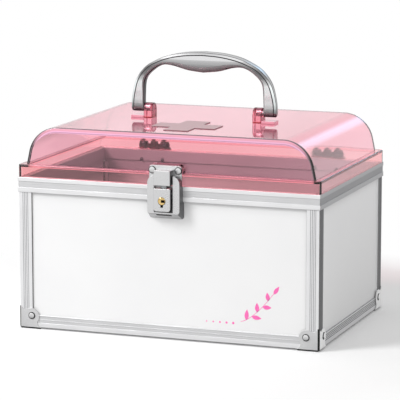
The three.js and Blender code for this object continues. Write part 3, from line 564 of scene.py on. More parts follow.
def dome_strip(x, y, z, from_middle):
    """Where the strip on the dome's faces runs, and its colour, with its painted dark line and painted
    highlight lines.
    """
    reach = HALF_DEPTH - DOME_INSET
    depth = dome_depth(x, z)
    down_end = z.rising(LID_TOP, END_FADE, 1.0, 0.0)
    highlighted = y.below(MID_Y) * (1.0 - down_end)
    strip_end = highlighted.mapped(EDGE_STRIP * MM, HIGHLIGHT_END * MM, 0.0, 1.0)
    on_face = from_middle.above(reach - DOME_EDGE - NEAR) * from_middle.below(reach + NEAR)
    on_dome = z.above(RIM_TOP + STRIP_RISE) * (1.0 - z.above(LID_TOP + LUG_TINT_RISE))
    # Painted shade: a dark outline, grey on top and black at the ends, then pale painted highlight lines on
    # the front
    line_end = down_end.mapped(EDGE_LINE * MM, 2 * EDGE_LINE * MM, 0.0, 1.0)
    below_line = down_end.mix(STRIP_PINK, LINE_GREY)
    tone = (depth > line_end).mix(down_end.mix(LINE_GREY, LINE_BLACK), below_line)
    off_gap = abs(depth - HIGHLIGHT_MIDDLE * MM).above(HIGHLIGHT_GAP)
    tone = depth.above(HIGHLIGHT_START).mix(tone, off_gap.mix(HIGHLIGHT_GAP_PINK, HIGHLIGHT_LINE_PINK))
    return (depth < strip_end) * on_face * on_dome, tone


def pink_material():
    """Clear pink acrylic with opaque edges on the dome's faces, which carry painted shade and painted
    highlight lines, and with the lid's painted light and shade in its colour. Lamplight passes through it,
    and its tint deepens with the length of plastic passed."""
    nodes = new_material("pink_plastic")
    x, y, z = nodes.split(nodes.place())
    from_middle = abs(y - MID_Y * MM)
    strip, strip_tone = dome_strip(x, y, z, from_middle)
    ripple = nodes.noise(RIPPLE, 1.0)
    smears = nodes.noise(SMEARS, 4.0)
    near_rim_top = z.below(RIM_TOP + 0.01) * z.above(RIM_TOP - RIM_EDGE)
    rim_edge = from_middle.above(HALF_DEPTH - RIM_EDGE) * near_rim_top
    plastic = nodes.principled(
        strip.mix(lid_tint(x, z), strip_tone),
        smears.mapped(0.015, 0.05).at_least(rim_edge * RIM_EDGE_HAZE),
        IOR=1.49,
        Normal=nodes.bump(ripple, 0.05, 0.4),
        **{"Transmission Weight": 1.0 - strip},
    )
    open_way = nodes.add("BsdfTransparent", {"Color": (0.992, 0.877, 0.9, 1.0)})
    lamplight = nodes.light_path("Shadow").at_least(nodes.light_path("Diffuse"))
    depth_tint = nodes.add("VolumeAbsorption", {"Color": (0.97, 0.17, 0.30, 1.0), "Density": 50.0})
    return nodes.finish(lamplight.choose(plastic, open_way), Volume=depth_tint)


# The handle's grey at shares of the height from CHROME_START below its pivot to its top, painted light and
# shade that stands in for its reflections, and the tint of its legs, which fades out between two of those
# shares
CHROME_PAINTED_TONES = [
    (0.03, 0.2), (0.1, 0.24), (0.14, 0.36), (0.18, 0.6), (0.24, 0.78), (0.31, 0.82), (0.4, 0.98),
    (0.5, 1.0), (0.57, 0.6), (0.64, 0.26), (0.73, 0.22), (0.79, 0.34), (0.83, 0.47), (0.87, 0.56),
    (0.885, 0.82), (0.94, 0.82), (1.0, 0.5),
]
CHROME_START = 6
LEG_TINT = (0.95, 1.0, 0.99, 1.0)
LEG_FADE = (0.5, 0.62)


def chrome_material():
    """Bright plating on the handle, with painted reflections and shade: its tone swings between light and
    dark with the height.
    """
    nodes = new_material("chrome")
    rise = nodes.split(nodes.place())[2].passing(PIVOT_Z - CHROME_START, PIVOT_Z + HANDLE_RISE)
    swing = nodes.add("ValToRGB", {"Fac": rise})
    ramp = swing.socket.node.color_ramp
    ramp.interpolation = "EASE"
    while len(ramp.elements) < len(CHROME_PAINTED_TONES):
        ramp.elements.new(0.5)
    for element, (at, tone) in zip(ramp.elements, CHROME_PAINTED_TONES):
        element.position = at
        element.color = (tone, tone, 1.01 * tone, 1.0)
    tint = rise.mapped(0.0, 1.0, *LEG_FADE).mix(LEG_TINT, WHITE)
    colour = nodes.add("VectorMath", {0: swing, 1: tint}, operation="MULTIPLY")
    haze = nodes.grain(ALL_WAYS, 2.0)
    return nodes.finish(nodes.principled(colour, haze.mapped(0.12, 0.2), Metallic=1.0))


# Metal finishes: the range of roughness, how metallic, and the depth of the grain
RAIL = ((0.34, 0.46), 0.75, 0.4)
RECESS = ((0.4, 0.5), 0.5, 0.6)
PLATING = ((0.2, 0.3), 1.0, 0.004)
NICKEL = ((0.3, 0.4), 1.0, 0.01)

# Grey metals: the darkest and the lightest grey, how much bluer both are, the finish and the grain. Many are
# lit and shaded copies of one metal, with painted light and shade as noted below
GREY_METALS = {
    "rail_x": (0.83, 0.90, 0.01, RAIL, ALONG_X),
    # A shaded copy of the rails for the side rails: painted shade
    "rail_y": (0.34, 0.41, 0.01, RAIL, ALONG_Y),
    "rail_z": (0.83, 0.90, 0.01, RAIL, ALONG_Z),
    # A shaded copy for the side bottom rails, and one for the posts' side faces: painted shade
    "rail_y_light": (0.50, 0.56, 0.01, RAIL, ALONG_Y),
    "rail_z_side": (0.10, 0.16, 0.005, RAIL, ALONG_Z),
    # Painted shade in grooves and the recessed band, with darker copies for faces turned to the sides
    "groove": (0.42, 0.50, 0.01, RECESS, ALL_WAYS),
    "groove_side": (0.05, 0.08, 0.0, RECESS, ALONG_Y),
    "recess": (0.60, 0.67, 0.01, RECESS, ALONG_X),
    "recess_side": (0.24, 0.30, 0.01, RECESS, ALONG_Y),
    # Painted reflections and shade on the handle's outer side, its rear band and its inner side
    "chrome_side": (0.38, 0.44, 0.005, PLATING, ALL_WAYS),
    "chrome_rear": (0.15, 0.19, 0.005, PLATING, ALL_WAYS),
    "chrome_under": (0.22, 0.27, 0.005, ((0.4, 0.5), 0.3, 0.004), ALL_WAYS),
    "nickel": (0.72, 0.78, 0.005, ((0.26, 0.34), 1.0, 0.01), ALL_WAYS),
    # Shaded copies of the nickel: painted shade on side faces and on faces turned down, lighter on the
    # lever's sides
    "nickel_side": (0.17, 0.22, 0.005, NICKEL, ALL_WAYS),
    "nickel_under": (0.50, 0.56, 0.005, NICKEL, ALL_WAYS),
    "lever_side": (0.34, 0.40, 0.005, NICKEL, ALL_WAYS),
    "plate": (0.60, 0.66, 0.005, ((0.35, 0.45), 0.5, 0.01), ALL_WAYS),
    # A lit copy of the brackets' plate: painted light on their faces turned to the sides
    "plate_bright": (0.90, 0.94, 0.0, ((0.4, 0.5), 0.0, 0.01), ALL_WAYS),
    # Painted shade, and a black painted shade for holes, grooves and chamfers
    "shade": (0.07, 0.11, 0.01, ((0.45, 0.6), 0.4, 0.01), ALL_WAYS),
    "black_shade": (0.006, 0.016, 0.0, ((0.5, 0.7), 0.3, 0.02), ALL_WAYS),
}
MATERIALS = {
    name: metal_material(name, (dark, dark, dark + blue), (light, light, light + blue), *finish, grain)
    for name, (dark, light, blue, finish, grain) in GREY_METALS.items()
}
MATERIALS.update({
    "chrome": chrome_material(),
    "chrome_line": metal_material("chrome_line", (0.035, 0.033, 0.035), (0.06, 0.055, 0.06), *PLATING),
    "steel": metal_material("steel", (0.30, 0.31, 0.32), (0.42, 0.43, 0.44), (0.35, 0.5)),
    "brass": metal_material("brass", (0.82, 0.56, 0.22), (0.95, 0.72, 0.34), (0.22, 0.34)),
    "board": board_material(),
    "inside": inside_material(),
    "pink": pink_material(),
    "pink_gloss": plain_material("pink_gloss", (0.90, 0.42, 0.52), (0.94, 0.46, 0.56), (0.08, 0.12), 0.002),
    "emblem": plain_material("emblem", (0.49, 0.32, 0.34), (0.57, 0.38, 0.40), (0.4, 0.55)),
    "emblem_edge": plain_material("emblem_edge", (0.20, 0.12, 0.13), (0.26, 0.16, 0.17), (0.4, 0.55)),
    "print": plain_material("print", (0.86, 0.13, 0.42), (0.92, 0.17, 0.48), (0.4, 0.5)),
})

# Every CAD node starts with the finish of its slot
SLOT_MATERIALS = {
    "frame_aluminium": "rail_x",
    "white_board": "board",
    "pink_plastic": "pink",
    "emblem_plastic": "emblem",
    "handle_chrome": "chrome",
    "plated_steel": "nickel",
    "plain_steel": "steel",
    "lock_brass": "brass",
}
for subpart in frame["record"]["subparts"]:
    shown = frame["nodes"][subpart["node"]]
    shown.data.materials.clear()
    shown.data.materials.append(MATERIALS[SLOT_MATERIALS[subpart["material_slot"]]])


# Outlines, as lists of points in a plane


def arc(centre, radius, start, end, steps=8):
    """Points on an arc, from one angle to another, in degrees."""
    angles = (math.radians(start + (end - start) * i / steps) for i in range(steps + 1))
    return [(centre[0] + radius * math.cos(a), centre[1] + radius * math.sin(a)) for a in angles]


def curve(start, pull, end, steps=6):
    """Points on a quadratic curve between two points, without the first and the last."""
    start, pull, end = Vector(start), Vector(pull), Vector(end)
    shares = (i / steps for i in range(1, steps))
    return [tuple(start * (1 - t)**2 + pull * 2 * t * (1 - t) + end * t**2) for t in shares]


def filleted(corners, steps=5):
    """A closed outline whose corners are rounded. Each corner is x, y and its radius."""
    outline = []
    for i, (x, y, radius) in enumerate(corners):
        here = Vector((x, y))
        if radius == 0:
            outline.append((x, y))
            continue
        back = (Vector(corners[i - 1][:2]) - here).normalized()
        onward = (Vector(corners[(i + 1) % len(corners)][:2]) - here).normalized()
        half = back.angle(onward) / 2
        centre = here + (back + onward).normalized() * (radius / math.sin(half))
        reach = radius / math.tan(half)
        first, last = here + back * reach - centre, here + onward * reach - centre
        for step in range(steps + 1):
            outline.append(tuple(centre + first.slerp(last, step / steps).normalized() * radius))
    return outline


def rounded_rectangle(x_span, y_span, radius, top_radius=None, steps=5):
    """A rectangle with rounded corners, which may have another radius at its top."""
    top = radius if top_radius is None else top_radius
    return filleted([
        (x_span[0], y_span[0], radius), (x_span[1], y_span[0], radius),
        (x_span[1], y_span[1], top), (x_span[0], y_span[1], top),
    ], steps)


def quarter_round(radius, steps):
    """Steps over a rounded edge, each the distances from the edge's two faces."""
    angles = [math.pi / 2 * i / steps for i in range(steps + 1)] if radius else [0]
    return [(radius * (1 - math.sin(a)), radius * (1 - math.cos(a))) for a in angles]


def mirrored(side, near, far):
    """The span from near to far on the right (1), or its mirror image on the left (-1)."""
    return (near, far) if side > 0 else (-far, -near)


# Solids, as objects whose meshes are in millimetres


def on_axis(axis, outline, at):
    """An outline's points across an axis: drawn in y, z for x, in x, z for y and in x, y for z."""
    order = {"x": lambda a, b: (at, a, b), "y": lambda a, b: (a, at, b), "z": lambda a, b: (a, b, at)}
    return [order[axis](a, b) for a, b in outline]


def show(name, data):
    made = bpy.data.objects.new(name, data)
    bpy.context.scene.collection.objects.link(made)
    return made


def skin(rings):
    """A closed solid over rings that have as many points each."""
    mesh = bmesh.new()
    rows = [[mesh.verts.new(point) for point in ring] for ring in rings]
    for low, high in zip(rows, rows[1:]):
        for i, corner in enumerate(low):
            after = (i + 1) % len(low)
            mesh.faces.new((corner, low[after], high[after], high[i]))
    mesh.faces.new(reversed(rows[0]))
    mesh.faces.new(rows[-1])
    bmesh.ops.recalc_face_normals(mesh, faces=mesh.faces)
    data = bpy.data.meshes.new("solid")
    mesh.to_mesh(data)
    mesh.free()
    return show("solid", data)


def prism(outline, axis, low, high):
    return skin([on_axis(axis, outline, low), on_axis(axis, outline, high)])


def block(x_span, y_span, z_span):
    corners = ((0, 0), (1, 0), (1, 1), (0, 1))
    return prism([(x_span[i], y_span[j]) for i, j in corners], "z", *z_span)


def circle(centre, radius, steps=32):
    return arc(centre, radius, 0, 360 - 360 / steps, steps - 1)


def rod(axis, radius, span, centre, steps=32):
    """A round rod along an axis, through a point given in the other two coordinates."""
    return prism(circle(centre, radius, steps), axis, *span)


def rounded_prism(outline_at, axis, low, high, low_edge, high_edge, steps=5):
    """A prism whose end rims are rounded. outline_at gives the outline moved inwards by a distance."""
    rings = [(inset, low + rise) for inset, rise in quarter_round(low_edge, steps)]
    rings += [(inset, high - drop) for inset, drop in reversed(quarter_round(high_edge, steps))]
    return skin([on_axis(axis, outline_at(inset), at) for inset, at in rings])


def lathe(profile, steps=32):
    """A round solid about the y axis, from its profile as radius and y."""
    return skin([on_axis("y", circle((0, 0), radius, steps), along) for radius, along in profile])


def settle(item):
    """Applies an object's modifiers to its mesh."""
    seen = item.evaluated_get(bpy.context.evaluated_depsgraph_get())
    data = bpy.data.meshes.new_from_object(seen)
    old = item.data
    item.modifiers.clear()
    item.data = data
    bpy.data.meshes.remove(old)
    return item


def combined(operation, base, tools):
    for tool in tools:
        change = base.modifiers.new("boolean", "BOOLEAN")
        change.operation = operation
        change.solver = "MANIFOLD"
        change.object = tool
    settle(base)
    for tool in tools:
        bpy.data.meshes.remove(tool.data)
    return base


def unite(base, *tools):
    return combined("UNION", base, tools)


def cut(base, *tools):
    return combined("DIFFERENCE", base, tools)


def bevel(item, width, segments=2, angle=40):
    """Rounds the edges of a solid that are sharper than an angle in degrees."""
    change = item.modifiers.new("bevel", "BEVEL")
    change.width = width
    change.segments = segments
    change.limit_method = "ANGLE"
    change.angle_limit = math.radians(angle)
    return settle(item)


def piece(name, item, body, slot, materials, place=None, paint=None, sharp=50):
    """Turns a solid into a finished piece. paint gives a face's material number from its middle and
    normal, whose limits run from 1 for facing one way to -1 for facing the other. Edges sharper than an
    angle in degrees stay sharp."""
    data = item.data
    data.materials.clear()
    for material in materials:
        data.materials.append(MATERIALS[material])
    mesh = bmesh.new()
    mesh.from_mesh(data)
    for face in mesh.faces:
        face.smooth = True
        face.material_index = paint(face.calc_center_median(), face.normal) if paint else 0
    for edge in mesh.edges:
        edge.smooth = len(edge.link_faces) == 2 and edge.calc_face_angle() < math.radians(sharp)
    mesh.transform(Matrix.Scale(MM, 4) @ (place or Matrix()))
    mesh.to_mesh(data)
    mesh.free()
    item.modifiers.new("shading", "WEIGHTED_NORMAL").keep_sharp = True
    settle(item)
    item.name = item.data.name = name
    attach(item, body)
    return item


def detail(node, item, body, slot, materials, *finish, **more):
    """A finished piece that takes the place of a CAD node."""
    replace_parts(piece(f"{node}_detail", item, body, slot, materials, *finish, **more), node)


# Sides and bottom corners


def side_place(turns, x, y):
    return Matrix.Translation((x, y, 0)) @ Matrix.Rotation(turns * math.pi / 2, 4, "Z")


# Each side's place, length and direction. In its own frame x runs along it and y inwards from its face
SIDES = {
    "front": (side_place(0, 0, FRONT), 2 * HALF_WIDTH, "x"),
    "right": (side_place(1, HALF_WIDTH, MID_Y), 2 * HALF_DEPTH, "y"),
    "rear": (side_place(2, 0, REAR), 2 * HALF_WIDTH, "x"),
    "left": (side_place(3, -HALF_WIDTH, MID_Y), 2 * HALF_DEPTH, "y"),
}

# In a corner's own frame x and y both run inwards from its outer faces
CORNERS = {
    "front_left": side_place(0, -HALF_WIDTH, FRONT),
    "front_right": side_place(1, HALF_WIDTH, FRONT),
    "rear_right": side_place(2, HALF_WIDTH, REAR),
    "rear_left": side_place(3, -HALF_WIDTH, REAR),
}


# Body


def grooves(start, count, pitch, profile):
    """Grooves along a leg's outer face, as corners with radii."""
    return [
        (SHEET + start + i * pitch + along, SHEET + depth, radius)
        for i in range(count) for along, depth, radius in profile
    ]


def fine_grooves(start):
    """Fine grooves between two points where the face's painted shade may change."""
    first, last = SHEET + EDGE_SHADE, SHEET + EDGE_LEG - EDGE_SHADE
    return [(first, SHEET, 0), *grooves(start, *FINE_GROOVES), (last, SHEET, 0)]


def leg_outline(outer_face):
    """One leg of an edge extrusion, with the corners of its outer face, as corners with radii."""
    return outer_face + [
        (SHEET + EDGE_LEG, SHEET, EDGE_ROUND), (SHEET + EDGE_LEG, PANEL_FACE, 0), (CORE, PANEL_FACE, 0),
        (CORE, PANEL_BACK, 0), (SHEET + INNER_LEG, PANEL_BACK, 0), (SHEET + INNER_LEG, CORE, 0),
    ]


def edge_outline(first_face, second_face, corner_round):
    """An edge extrusion's section, with its outer corner towards (0, 0)."""
    other = [(y, x, radius) for x, y, radius in reversed(leg_outline(second_face))]
    return filleted([(SHEET, SHEET, corner_round), *leg_outline(first_face), (CORE, CORE, 0), *other], 3)


def in_groove(depth):
    """1 for a face that lies a little below an extrusion's outer face, else 0."""
    return int(SHEET + GROOVE_MARGINS[0] < depth < SHEET + GROOVE_DEPTH + GROOVE_MARGINS[1])


def corner_post(name, place):
    face = fine_grooves(GROOVES_NEAR_CORNER)
    item = prism(edge_outline(face, face, EDGE_ROUND), "z", SHEET, TOP_RAIL_BOTTOM - FIT)
    turn = place.to_3x3()

    # Painted shade: grooves darker, faces turned to the sides darker, and darker still near their edges
    def paint(middle, normal):
        outward = turn @ normal
        depth, along = sorted((middle.x, middle.y))
        grooved = in_groove(depth)
        if abs(outward.x) <= abs(outward.y) or not grooved and abs(outward.x) < FACING:
            return grooved
        return 2 if EDGE_SHADE < along - SHEET < EDGE_LEG - EDGE_SHADE else 3

    detail(f"corner_post_{name}", item, "case", "frame_aluminium",
           ["rail_z", "groove", "rail_z_side", "groove_side"], place, paint)


def bottom_rail(side):
    """A bottom rail, with wide grooves on the long sides and fine ones on the short sides."""
    place, span, along = SIDES[side]
    wide, fine = grooves(GROOVES_NEAR_PANEL, *WIDE_GROOVES), fine_grooves(GROOVES_NEAR_PANEL)
    section = edge_outline(fine_grooves(GROOVES_NEAR_CORNER), wide if along == "x" else fine, BOTTOM_ROUND)
    item = prism(section, "x", *centred(span / 2 - SHEET - EDGE_LEG - FIT))

    # Painted shade: the lower rounded edge dark and the grooves darker; the side rails take a shaded copy
    def paint(middle, normal):
        if normal.z < -0.4 and middle.y < SHEET + BOTTOM_ROUND:
            return 2
        return in_groove(min(middle.y, middle.z))

    finishes = {"x": ["rail_x", "recess", "shade"], "y": ["rail_y_light", "groove_side", "shade"]}
    detail(f"{side}_bottom_rail", item, "case", "frame_aluminium", finishes[along], place, paint)


def top_rail(side):
    """A top rail: a light band, a recessed band darkened by painted shade and a light band, with its ends
    mitred. Its inner faces take the inside's grey with its painted shade, and the side rails take shaded
    copies.
    """
    place, span, along = SIDES[side]
    outer_back, inner_back = PANEL_FACE - FIT, PANEL_BACK + FIT
    band_foot, band_top = TOP_RAIL_BOTTOM + LOWER_BAND, FRAME_TOP - UPPER_BAND
    flange_foot, inner_foot = FRAME_TOP - FLANGE, FRAME_TOP - TOP_RAIL_INNER_DEPTH
    outline = filleted([
        (0, TOP_RAIL_BOTTOM, EDGE_ROUND), (outer_back, TOP_RAIL_BOTTOM, 0), (outer_back, flange_foot, 0),
        (inner_back, flange_foot, 0), (inner_back, inner_foot, 0),
        (TOP_RAIL_WIDTH, inner_foot, EDGE_ROUND), (TOP_RAIL_WIDTH, FRAME_TOP, EDGE_ROUND),
        (0, FRAME_TOP, EDGE_ROUND), (0, band_top, BAND_ROUND), (BAND_RECESS, band_top, BAND_ROUND),
        (BAND_RECESS, band_foot, BAND_ROUND), (0, band_foot, BAND_ROUND),
    ], 3)
    item = skin([[(end * (span / 2 - y - MITRE_GAP), y, z) for y, z in outline] for end in (-1, 1)])

    def paint(middle, normal):
        if middle.y > PANEL_FACE and middle.z < FRAME_TOP - MARGIN:
            return 2
        return int(MARGIN < middle.y < BAND_RECESS + MARGIN and middle.z < FRAME_TOP - 1)

    recess = {"x": "recess", "y": "recess_side"}[along]
    detail(f"{side}_top_rail", item, "case", "frame_aluminium", [f"rail_{along}", recess, "inside"],
           place, paint)


def bracket_face():
    """One face of a bracket: a lobe round the rivet, with a hollow shoulder up to each tab."""
    lobe = arc((LOBE_CENTRE, LOBE_CENTRE), LOBE_RADIUS, LOBE_START, 90 - LOBE_START, 18)
    tab = (BRACKET_REACH, BRACKET_TAB)
    shoulder = [tab, *curve(tab, (lobe[0][0], BRACKET_SHOULDER), lobe[0])]
    other = [(y, x) for x, y in reversed(shoulder)]
    return [(0, 0), (BRACKET_REACH, 0), *shoulder, *lobe, *other, (0, BRACKET_REACH)]


def corner_bracket(name, place):
    item = unite(*[prism(bracket_face(), axis, 0, SHEET) for axis in "xyz"])
    bevel(item, BRACKET_EDGE, 3)
    corner = [(-PAST, -PAST), (BRACKET_CHAMFER + PAST, -PAST), (-PAST, BRACKET_CHAMFER + PAST)]
    cut(item, *[prism(corner, axis, -PAST, BRACKET_REACH + PAST) for axis in "xyz"])
    turn = place.to_3x3()

    # Painted light on faces turned to the sides, and black painted shade on the corner's chamfer
    def paint(middle, normal):
        on_chamfer = sorted(normal)[1] < -0.5
        return 2 if on_chamfer else int(abs((turn @ normal).x) > FACING)

    detail(f"corner_bracket_{name}", item, "case", "plated_steel", ["plate", "plate_bright", "black_shade"],
           place, paint)


def rivet(node, body, place, sizes, grip):
    """A rivet along y, with a ring pressed round its crown and a plain tail behind. The ring is painted black
    and the tail dark, as painted shade.
    """
    head, rise, shank, tail, tail_rise = sizes
    item = lathe([
        (RIVET_TIPS[0], -rise), *((out * head, -rise * up) for out, up in RIVET_HEAD), (head, 0),
        (shank, 0), (shank, grip), (tail, grip),
        *((out * tail, grip + up * tail_rise) for out, up in RIVET_TAIL), (RIVET_TIPS[1], grip + tail_rise),
    ])
    start, end, height = RIVET_GROOVE

    def paint(middle, normal):
        on_ring = start * head < math.hypot(middle.x, middle.z) < end * head
        return 2 if middle.y > grip - MARGIN else int(on_ring and -height * rise < middle.y < -MARGIN)

    detail(node, item, body, "plated_steel", ["nickel", "black_shade", "shade"], place, paint)


def wall_panel(side):
    place, span, _ = SIDES[side]
    spans = centred(span / 2 - PANEL_EDGE), (PANEL_FACE, PANEL_BACK), (PANEL_EDGE, FRAME_TOP - FLANGE - FIT)
    item = bevel(block(*spans), PANEL_ROUND)
    detail(f"{side}_panel", item, "case", "white_board", ["board"], place)


def make_body():
    for side, (place, span, _) in SIDES.items():
        wall_panel(side)
        bottom_rail(side)
        top_rail(side)
        for end, sign in ENDS.items():
            at = Matrix.Translation((sign * (span / 2 - BRACKET_RIVET_INSET), 0, BRACKET_RIVET_INSET))
            rivet(f"bracket_rivet_{side}_{end}", "case", place @ at, BRACKET_RIVET, PANEL_BACK)
    for name, place in CORNERS.items():
        corner_post(name, place)
        corner_bracket(name, place)
    floor = block(centred(HALF_WIDTH - PANEL_EDGE), centred(HALF_DEPTH - PANEL_EDGE, MID_Y),
                  (PANEL_FACE, PANEL_BACK))
    detail("bottom_panel", bevel(floor, PANEL_ROUND), "case", "white_board", ["board"])


# Lid


def dome_outline(inset, bottom):
    """The dome's end profile, moved inwards by a distance, with its flat foot at a height."""
    centre_x, centre_z = dome_centre()
    radius = DOME_END_RADIUS - inset
    foot = centre_x + (radius - math.sin(DOME_LEAN) * (bottom - centre_z)) / math.cos(DOME_LEAN)
    lean = math.degrees(DOME_LEAN)
    right = arc((centre_x, centre_z), radius, lean, 90, 24)
    left = arc((-centre_x, centre_z), radius, 90, 180 - lean, 24)
    return [(-foot, bottom), (foot, bottom), *right, *left]


def dome(inset, bottom):
    """The dome's solid, moved inwards all round, with rounded front and rear edges."""
    span, edge = centred(HALF_DEPTH - DOME_INSET - inset, MID_Y), max(DOME_EDGE - inset, 0)
    return rounded_prism(lambda more: dome_outline(inset + more, bottom), "y", *span, edge, edge, 7)


def rim_outline(inset):
    return rounded_rectangle(centred(HALF_WIDTH - inset), (FRONT + inset, REAR - inset), RIM_CORNER - inset)


def pivot_bores(near, far):
    """Tools that bore for the two pivot pins, from near to far of the middle."""
    return [rod("x", PIVOT_RADIUS + FIT, mirrored(side, near, far), (MID_Y, PIVOT_Z)) for side in (-1, 1)]


def lug(side):
    """The upright that holds the pivot pin."""
    root = LID_TOP - LUG_ROOT
    middle = (MID_Y, LID_TOP + LUG_HEIGHT - LUG_HALF_DEPTH)
    feet = [(y, root) for y in centred(LUG_HALF_DEPTH, MID_Y)]
    outline = [*feet, *arc(middle, LUG_HALF_DEPTH, 0, 180, 24)]
    return bevel(prism(outline, "x", *mirrored(side, LUG_INNER, LUG_OUTER)), LUG_EDGE, 3)


def foot_plate(name, side):
    """The pad moulded on the lid beside a lug, under the handle's leg."""
    beside, below = LUG_FOOT_GAPS
    item = block(mirrored(side, LUG_OUTER + beside, LUG_FOOT), centred(LUG_FOOT_HALF_DEPTH, MID_Y),
                 (LID_TOP + below, LID_TOP + LUG_FOOT_HEIGHT))
    piece(f"lid_foot_plate_{name}", bevel(item, LUG_EDGE / 2, 3), "lid", "pink_plastic", ["pink_gloss"])


def lid_shell():
    hollow_top = RIM_TOP - LID_WALL
    pad_heights = hollow_top, RIM_TOP + PAD_HEIGHT
    pad_outline = rounded_rectangle(centred(PAD_HALF_WIDTH), pad_heights, 0, PAD_CORNER)
    pad = bevel(prism(pad_outline, "y", FRONT, FRONT + DOME_INSET + LID_WALL / 2), PAD_EDGE)
    rim = rounded_prism(rim_outline, "z", RIM_BOTTOM, RIM_TOP, RIM_FOOT_EDGE, RIM_EDGE)
    outside = unite(rim, dome(0, RIM_TOP - DOME_ROOT), pad, lug(-1), lug(1))
    rim_hollow = prism(rim_outline(LID_WALL), "z", RIM_BOTTOM - PAST, hollow_top)
    bores = pivot_bores(LUG_INNER + PIN_BLIND_WALL, LUG_OUTER + PAST)
    shell = cut(outside, rim_hollow, dome(LID_WALL, hollow_top - DOME_ROOT), *bores)
    detail("lid_shell", shell, "lid", "pink_plastic", ["pink"], sharp=32)
    for name, side in PAIR.items():
        foot_plate(name, side)


def cross_emblem():
    long, short = CROSS_SPAN / 2, CROSS_ARM / 2
    corners = []
    for turn in range(4):
        for x, y in ((long, -short), (long, short), (short, short)):
            for _ in range(turn):
                x, y = -y, x
            corners.append((x, y + MID_Y - CROSS_FORWARD, CROSS_CORNERS[abs(x) == abs(y)]))
    item = bevel(prism(filleted(corners, 3), "z", LID_TOP, LID_TOP + CROSS_HEIGHT), CROSS_EDGE)
    detail("cross_emblem", item, "lid", "emblem_plastic", ["emblem", "emblem_edge"],
           paint=lambda middle, normal: int(normal.z < 0.6))


# Handle

# Stations along the right half, from the middle of the grip to the pivot: the outer and the inner edge as
# shares of the leg's outer or inner x and of the handle's rise, and the share of the way from the leg's
# thickness to the grip's
HANDLE_STATIONS = [
    ((0, 1), (0, 0.647), 1),
    ((0.253, 0.979), (0.262, 0.68), 1),
    ((0.481, 0.921), (0.508, 0.751), 0.89),
    ((0.646, 0.834), (0.677, 0.755), 0.67),
    ((0.797, 0.714), (0.838, 0.66), 0.44),
    ((0.924, 0.502), (0.973, 0.494), 0.22),
    ((0.987, 0.216), (1, 0.216), 0),
    ((1, 0), (1, 0), 0),
]
HANDLE_STEPS = 48
LEG_END_DEGREES = range(15, 80, 12)
LEG_END_DRAW = 2.0
CHAMFER_ACROSS = 2.4
CHAMFER_ALONG = 1.7
CRISP_ROUND = 0.8
EASED_ROUND = 0.9
LEG_ROUND = 1.3
GRIP_ROUND = 6.5
REAR_BAND = 0.4
SECTION_STEPS = 6

# The most that a chamfer takes of a section's width and of half its thickness, that the inner edge's
# rounding takes of the two, and that the roundings on the outer face and on the side take of a chamfer
CHAMFER_MOST = (0.3, 0.5)
INNER_ROUND_MOST = (0.4, 0.85)
CHAMFER_ROUNDS_MOST = (0.45, 0.4)

# The bands of painted shade: the dark line beside a chamfer, the rows dark at each leg's end, and the
# inside's flat width above which a section belongs to a leg
CHAMFER_LINE = 0.95
LEG_END_ROWS = 4
LEG_FLAT = 4.5


def along_curve(points, share):
    """A point on the smooth curve through points, at a share of the way from the first to the last."""
    at = share * (len(points) - 1)
    i = min(int(at), len(points) - 2)
    t = at - i
    before, first = Vector(points[max(i - 1, 0)]), Vector(points[i])
    second, after = Vector(points[i + 1]), Vector(points[min(i + 2, len(points) - 1)])
    leave, arrive = (second - before) / 2, (after - first) / 2
    return (
        (2 * first - 2 * second + leave + arrive) * t**3
        + (3 * second - 3 * first - 2 * leave - arrive) * t**2
        + leave * t + first
    )


def handle_section(outer, inner, half, rounding, mirror):
    """A ring round the handle between an outer and an inner edge point, with chamfers on its outer side."""
    outer, inner = Vector(outer), Vector(inner)
    width = (outer - inner).length
    across, along = min(CHAMFER_ACROSS, CHAMFER_MOST[0] * width), min(CHAMFER_ALONG, CHAMFER_MOST[1] * half)
    soft = min(rounding, INNER_ROUND_MOST[1] * half, INNER_ROUND_MOST[0] * width)
    crisp = min(CRISP_ROUND, CHAMFER_ROUNDS_MOST[0] * along)
    eased = min(EASED_ROUND, CHAMFER_ROUNDS_MOST[1] * along)
    side_end, flat = width - across, half - along
    line_start = side_end - CHAMFER_LINE
    ring = filleted([
        (0, -half, soft), (line_start, -half, 0), (side_end, -half, eased), (width, -flat, crisp),
        (width, flat * (1 - 2 * REAR_BAND), 0),
        (width, flat, crisp), (side_end, half, eased), (line_start, half, 0), (0, half, soft),
    ], SECTION_STEPS)
    points = []
    for reach, y in ring:
        x, z = inner + (outer - inner) * (reach / width)
        points.append((mirror * x, MID_Y + y, PIVOT_Z + z))
    return points


def half_handle(mirror):
    """Rings down one half of the handle, ending in a leg end rounded about the pivot."""
    outer_points = [(x * LEG_OUTER, z * HANDLE_RISE) for (x, z), _, _ in HANDLE_STATIONS]
    inner_points = [(x * LEG_INNER, z * HANDLE_RISE) for _, (x, z), _ in HANDLE_STATIONS]
    swells = [(swell, 0) for _, _, swell in HANDLE_STATIONS]
    rings = []
    for i in range(HANDLE_STEPS + 1):
        share = i / HANDLE_STEPS
        swell = along_curve(swells, share).x
        half = LEG_HALF_THICKNESS + (GRIP_HALF_THICKNESS - LEG_HALF_THICKNESS) * swell
        rounding = LEG_ROUND + (GRIP_ROUND - LEG_ROUND) * max(swell, 0)
        outer, inner = along_curve(outer_points, share), along_curve(inner_points, share)
        rings.append(handle_section(outer, inner, half, rounding, mirror))
    for degrees in LEG_END_DEGREES:
        angle = math.radians(degrees)
        drop = -LEG_HALF_THICKNESS * math.sin(angle)
        draw = LEG_END_DRAW * (1 - math.cos(angle))
        outer, inner = (LEG_OUTER - draw, drop), (LEG_INNER + draw / 2, drop)
        rings.append(handle_section(outer, inner, LEG_HALF_THICKNESS * math.cos(angle), LEG_ROUND, mirror))
    return rings


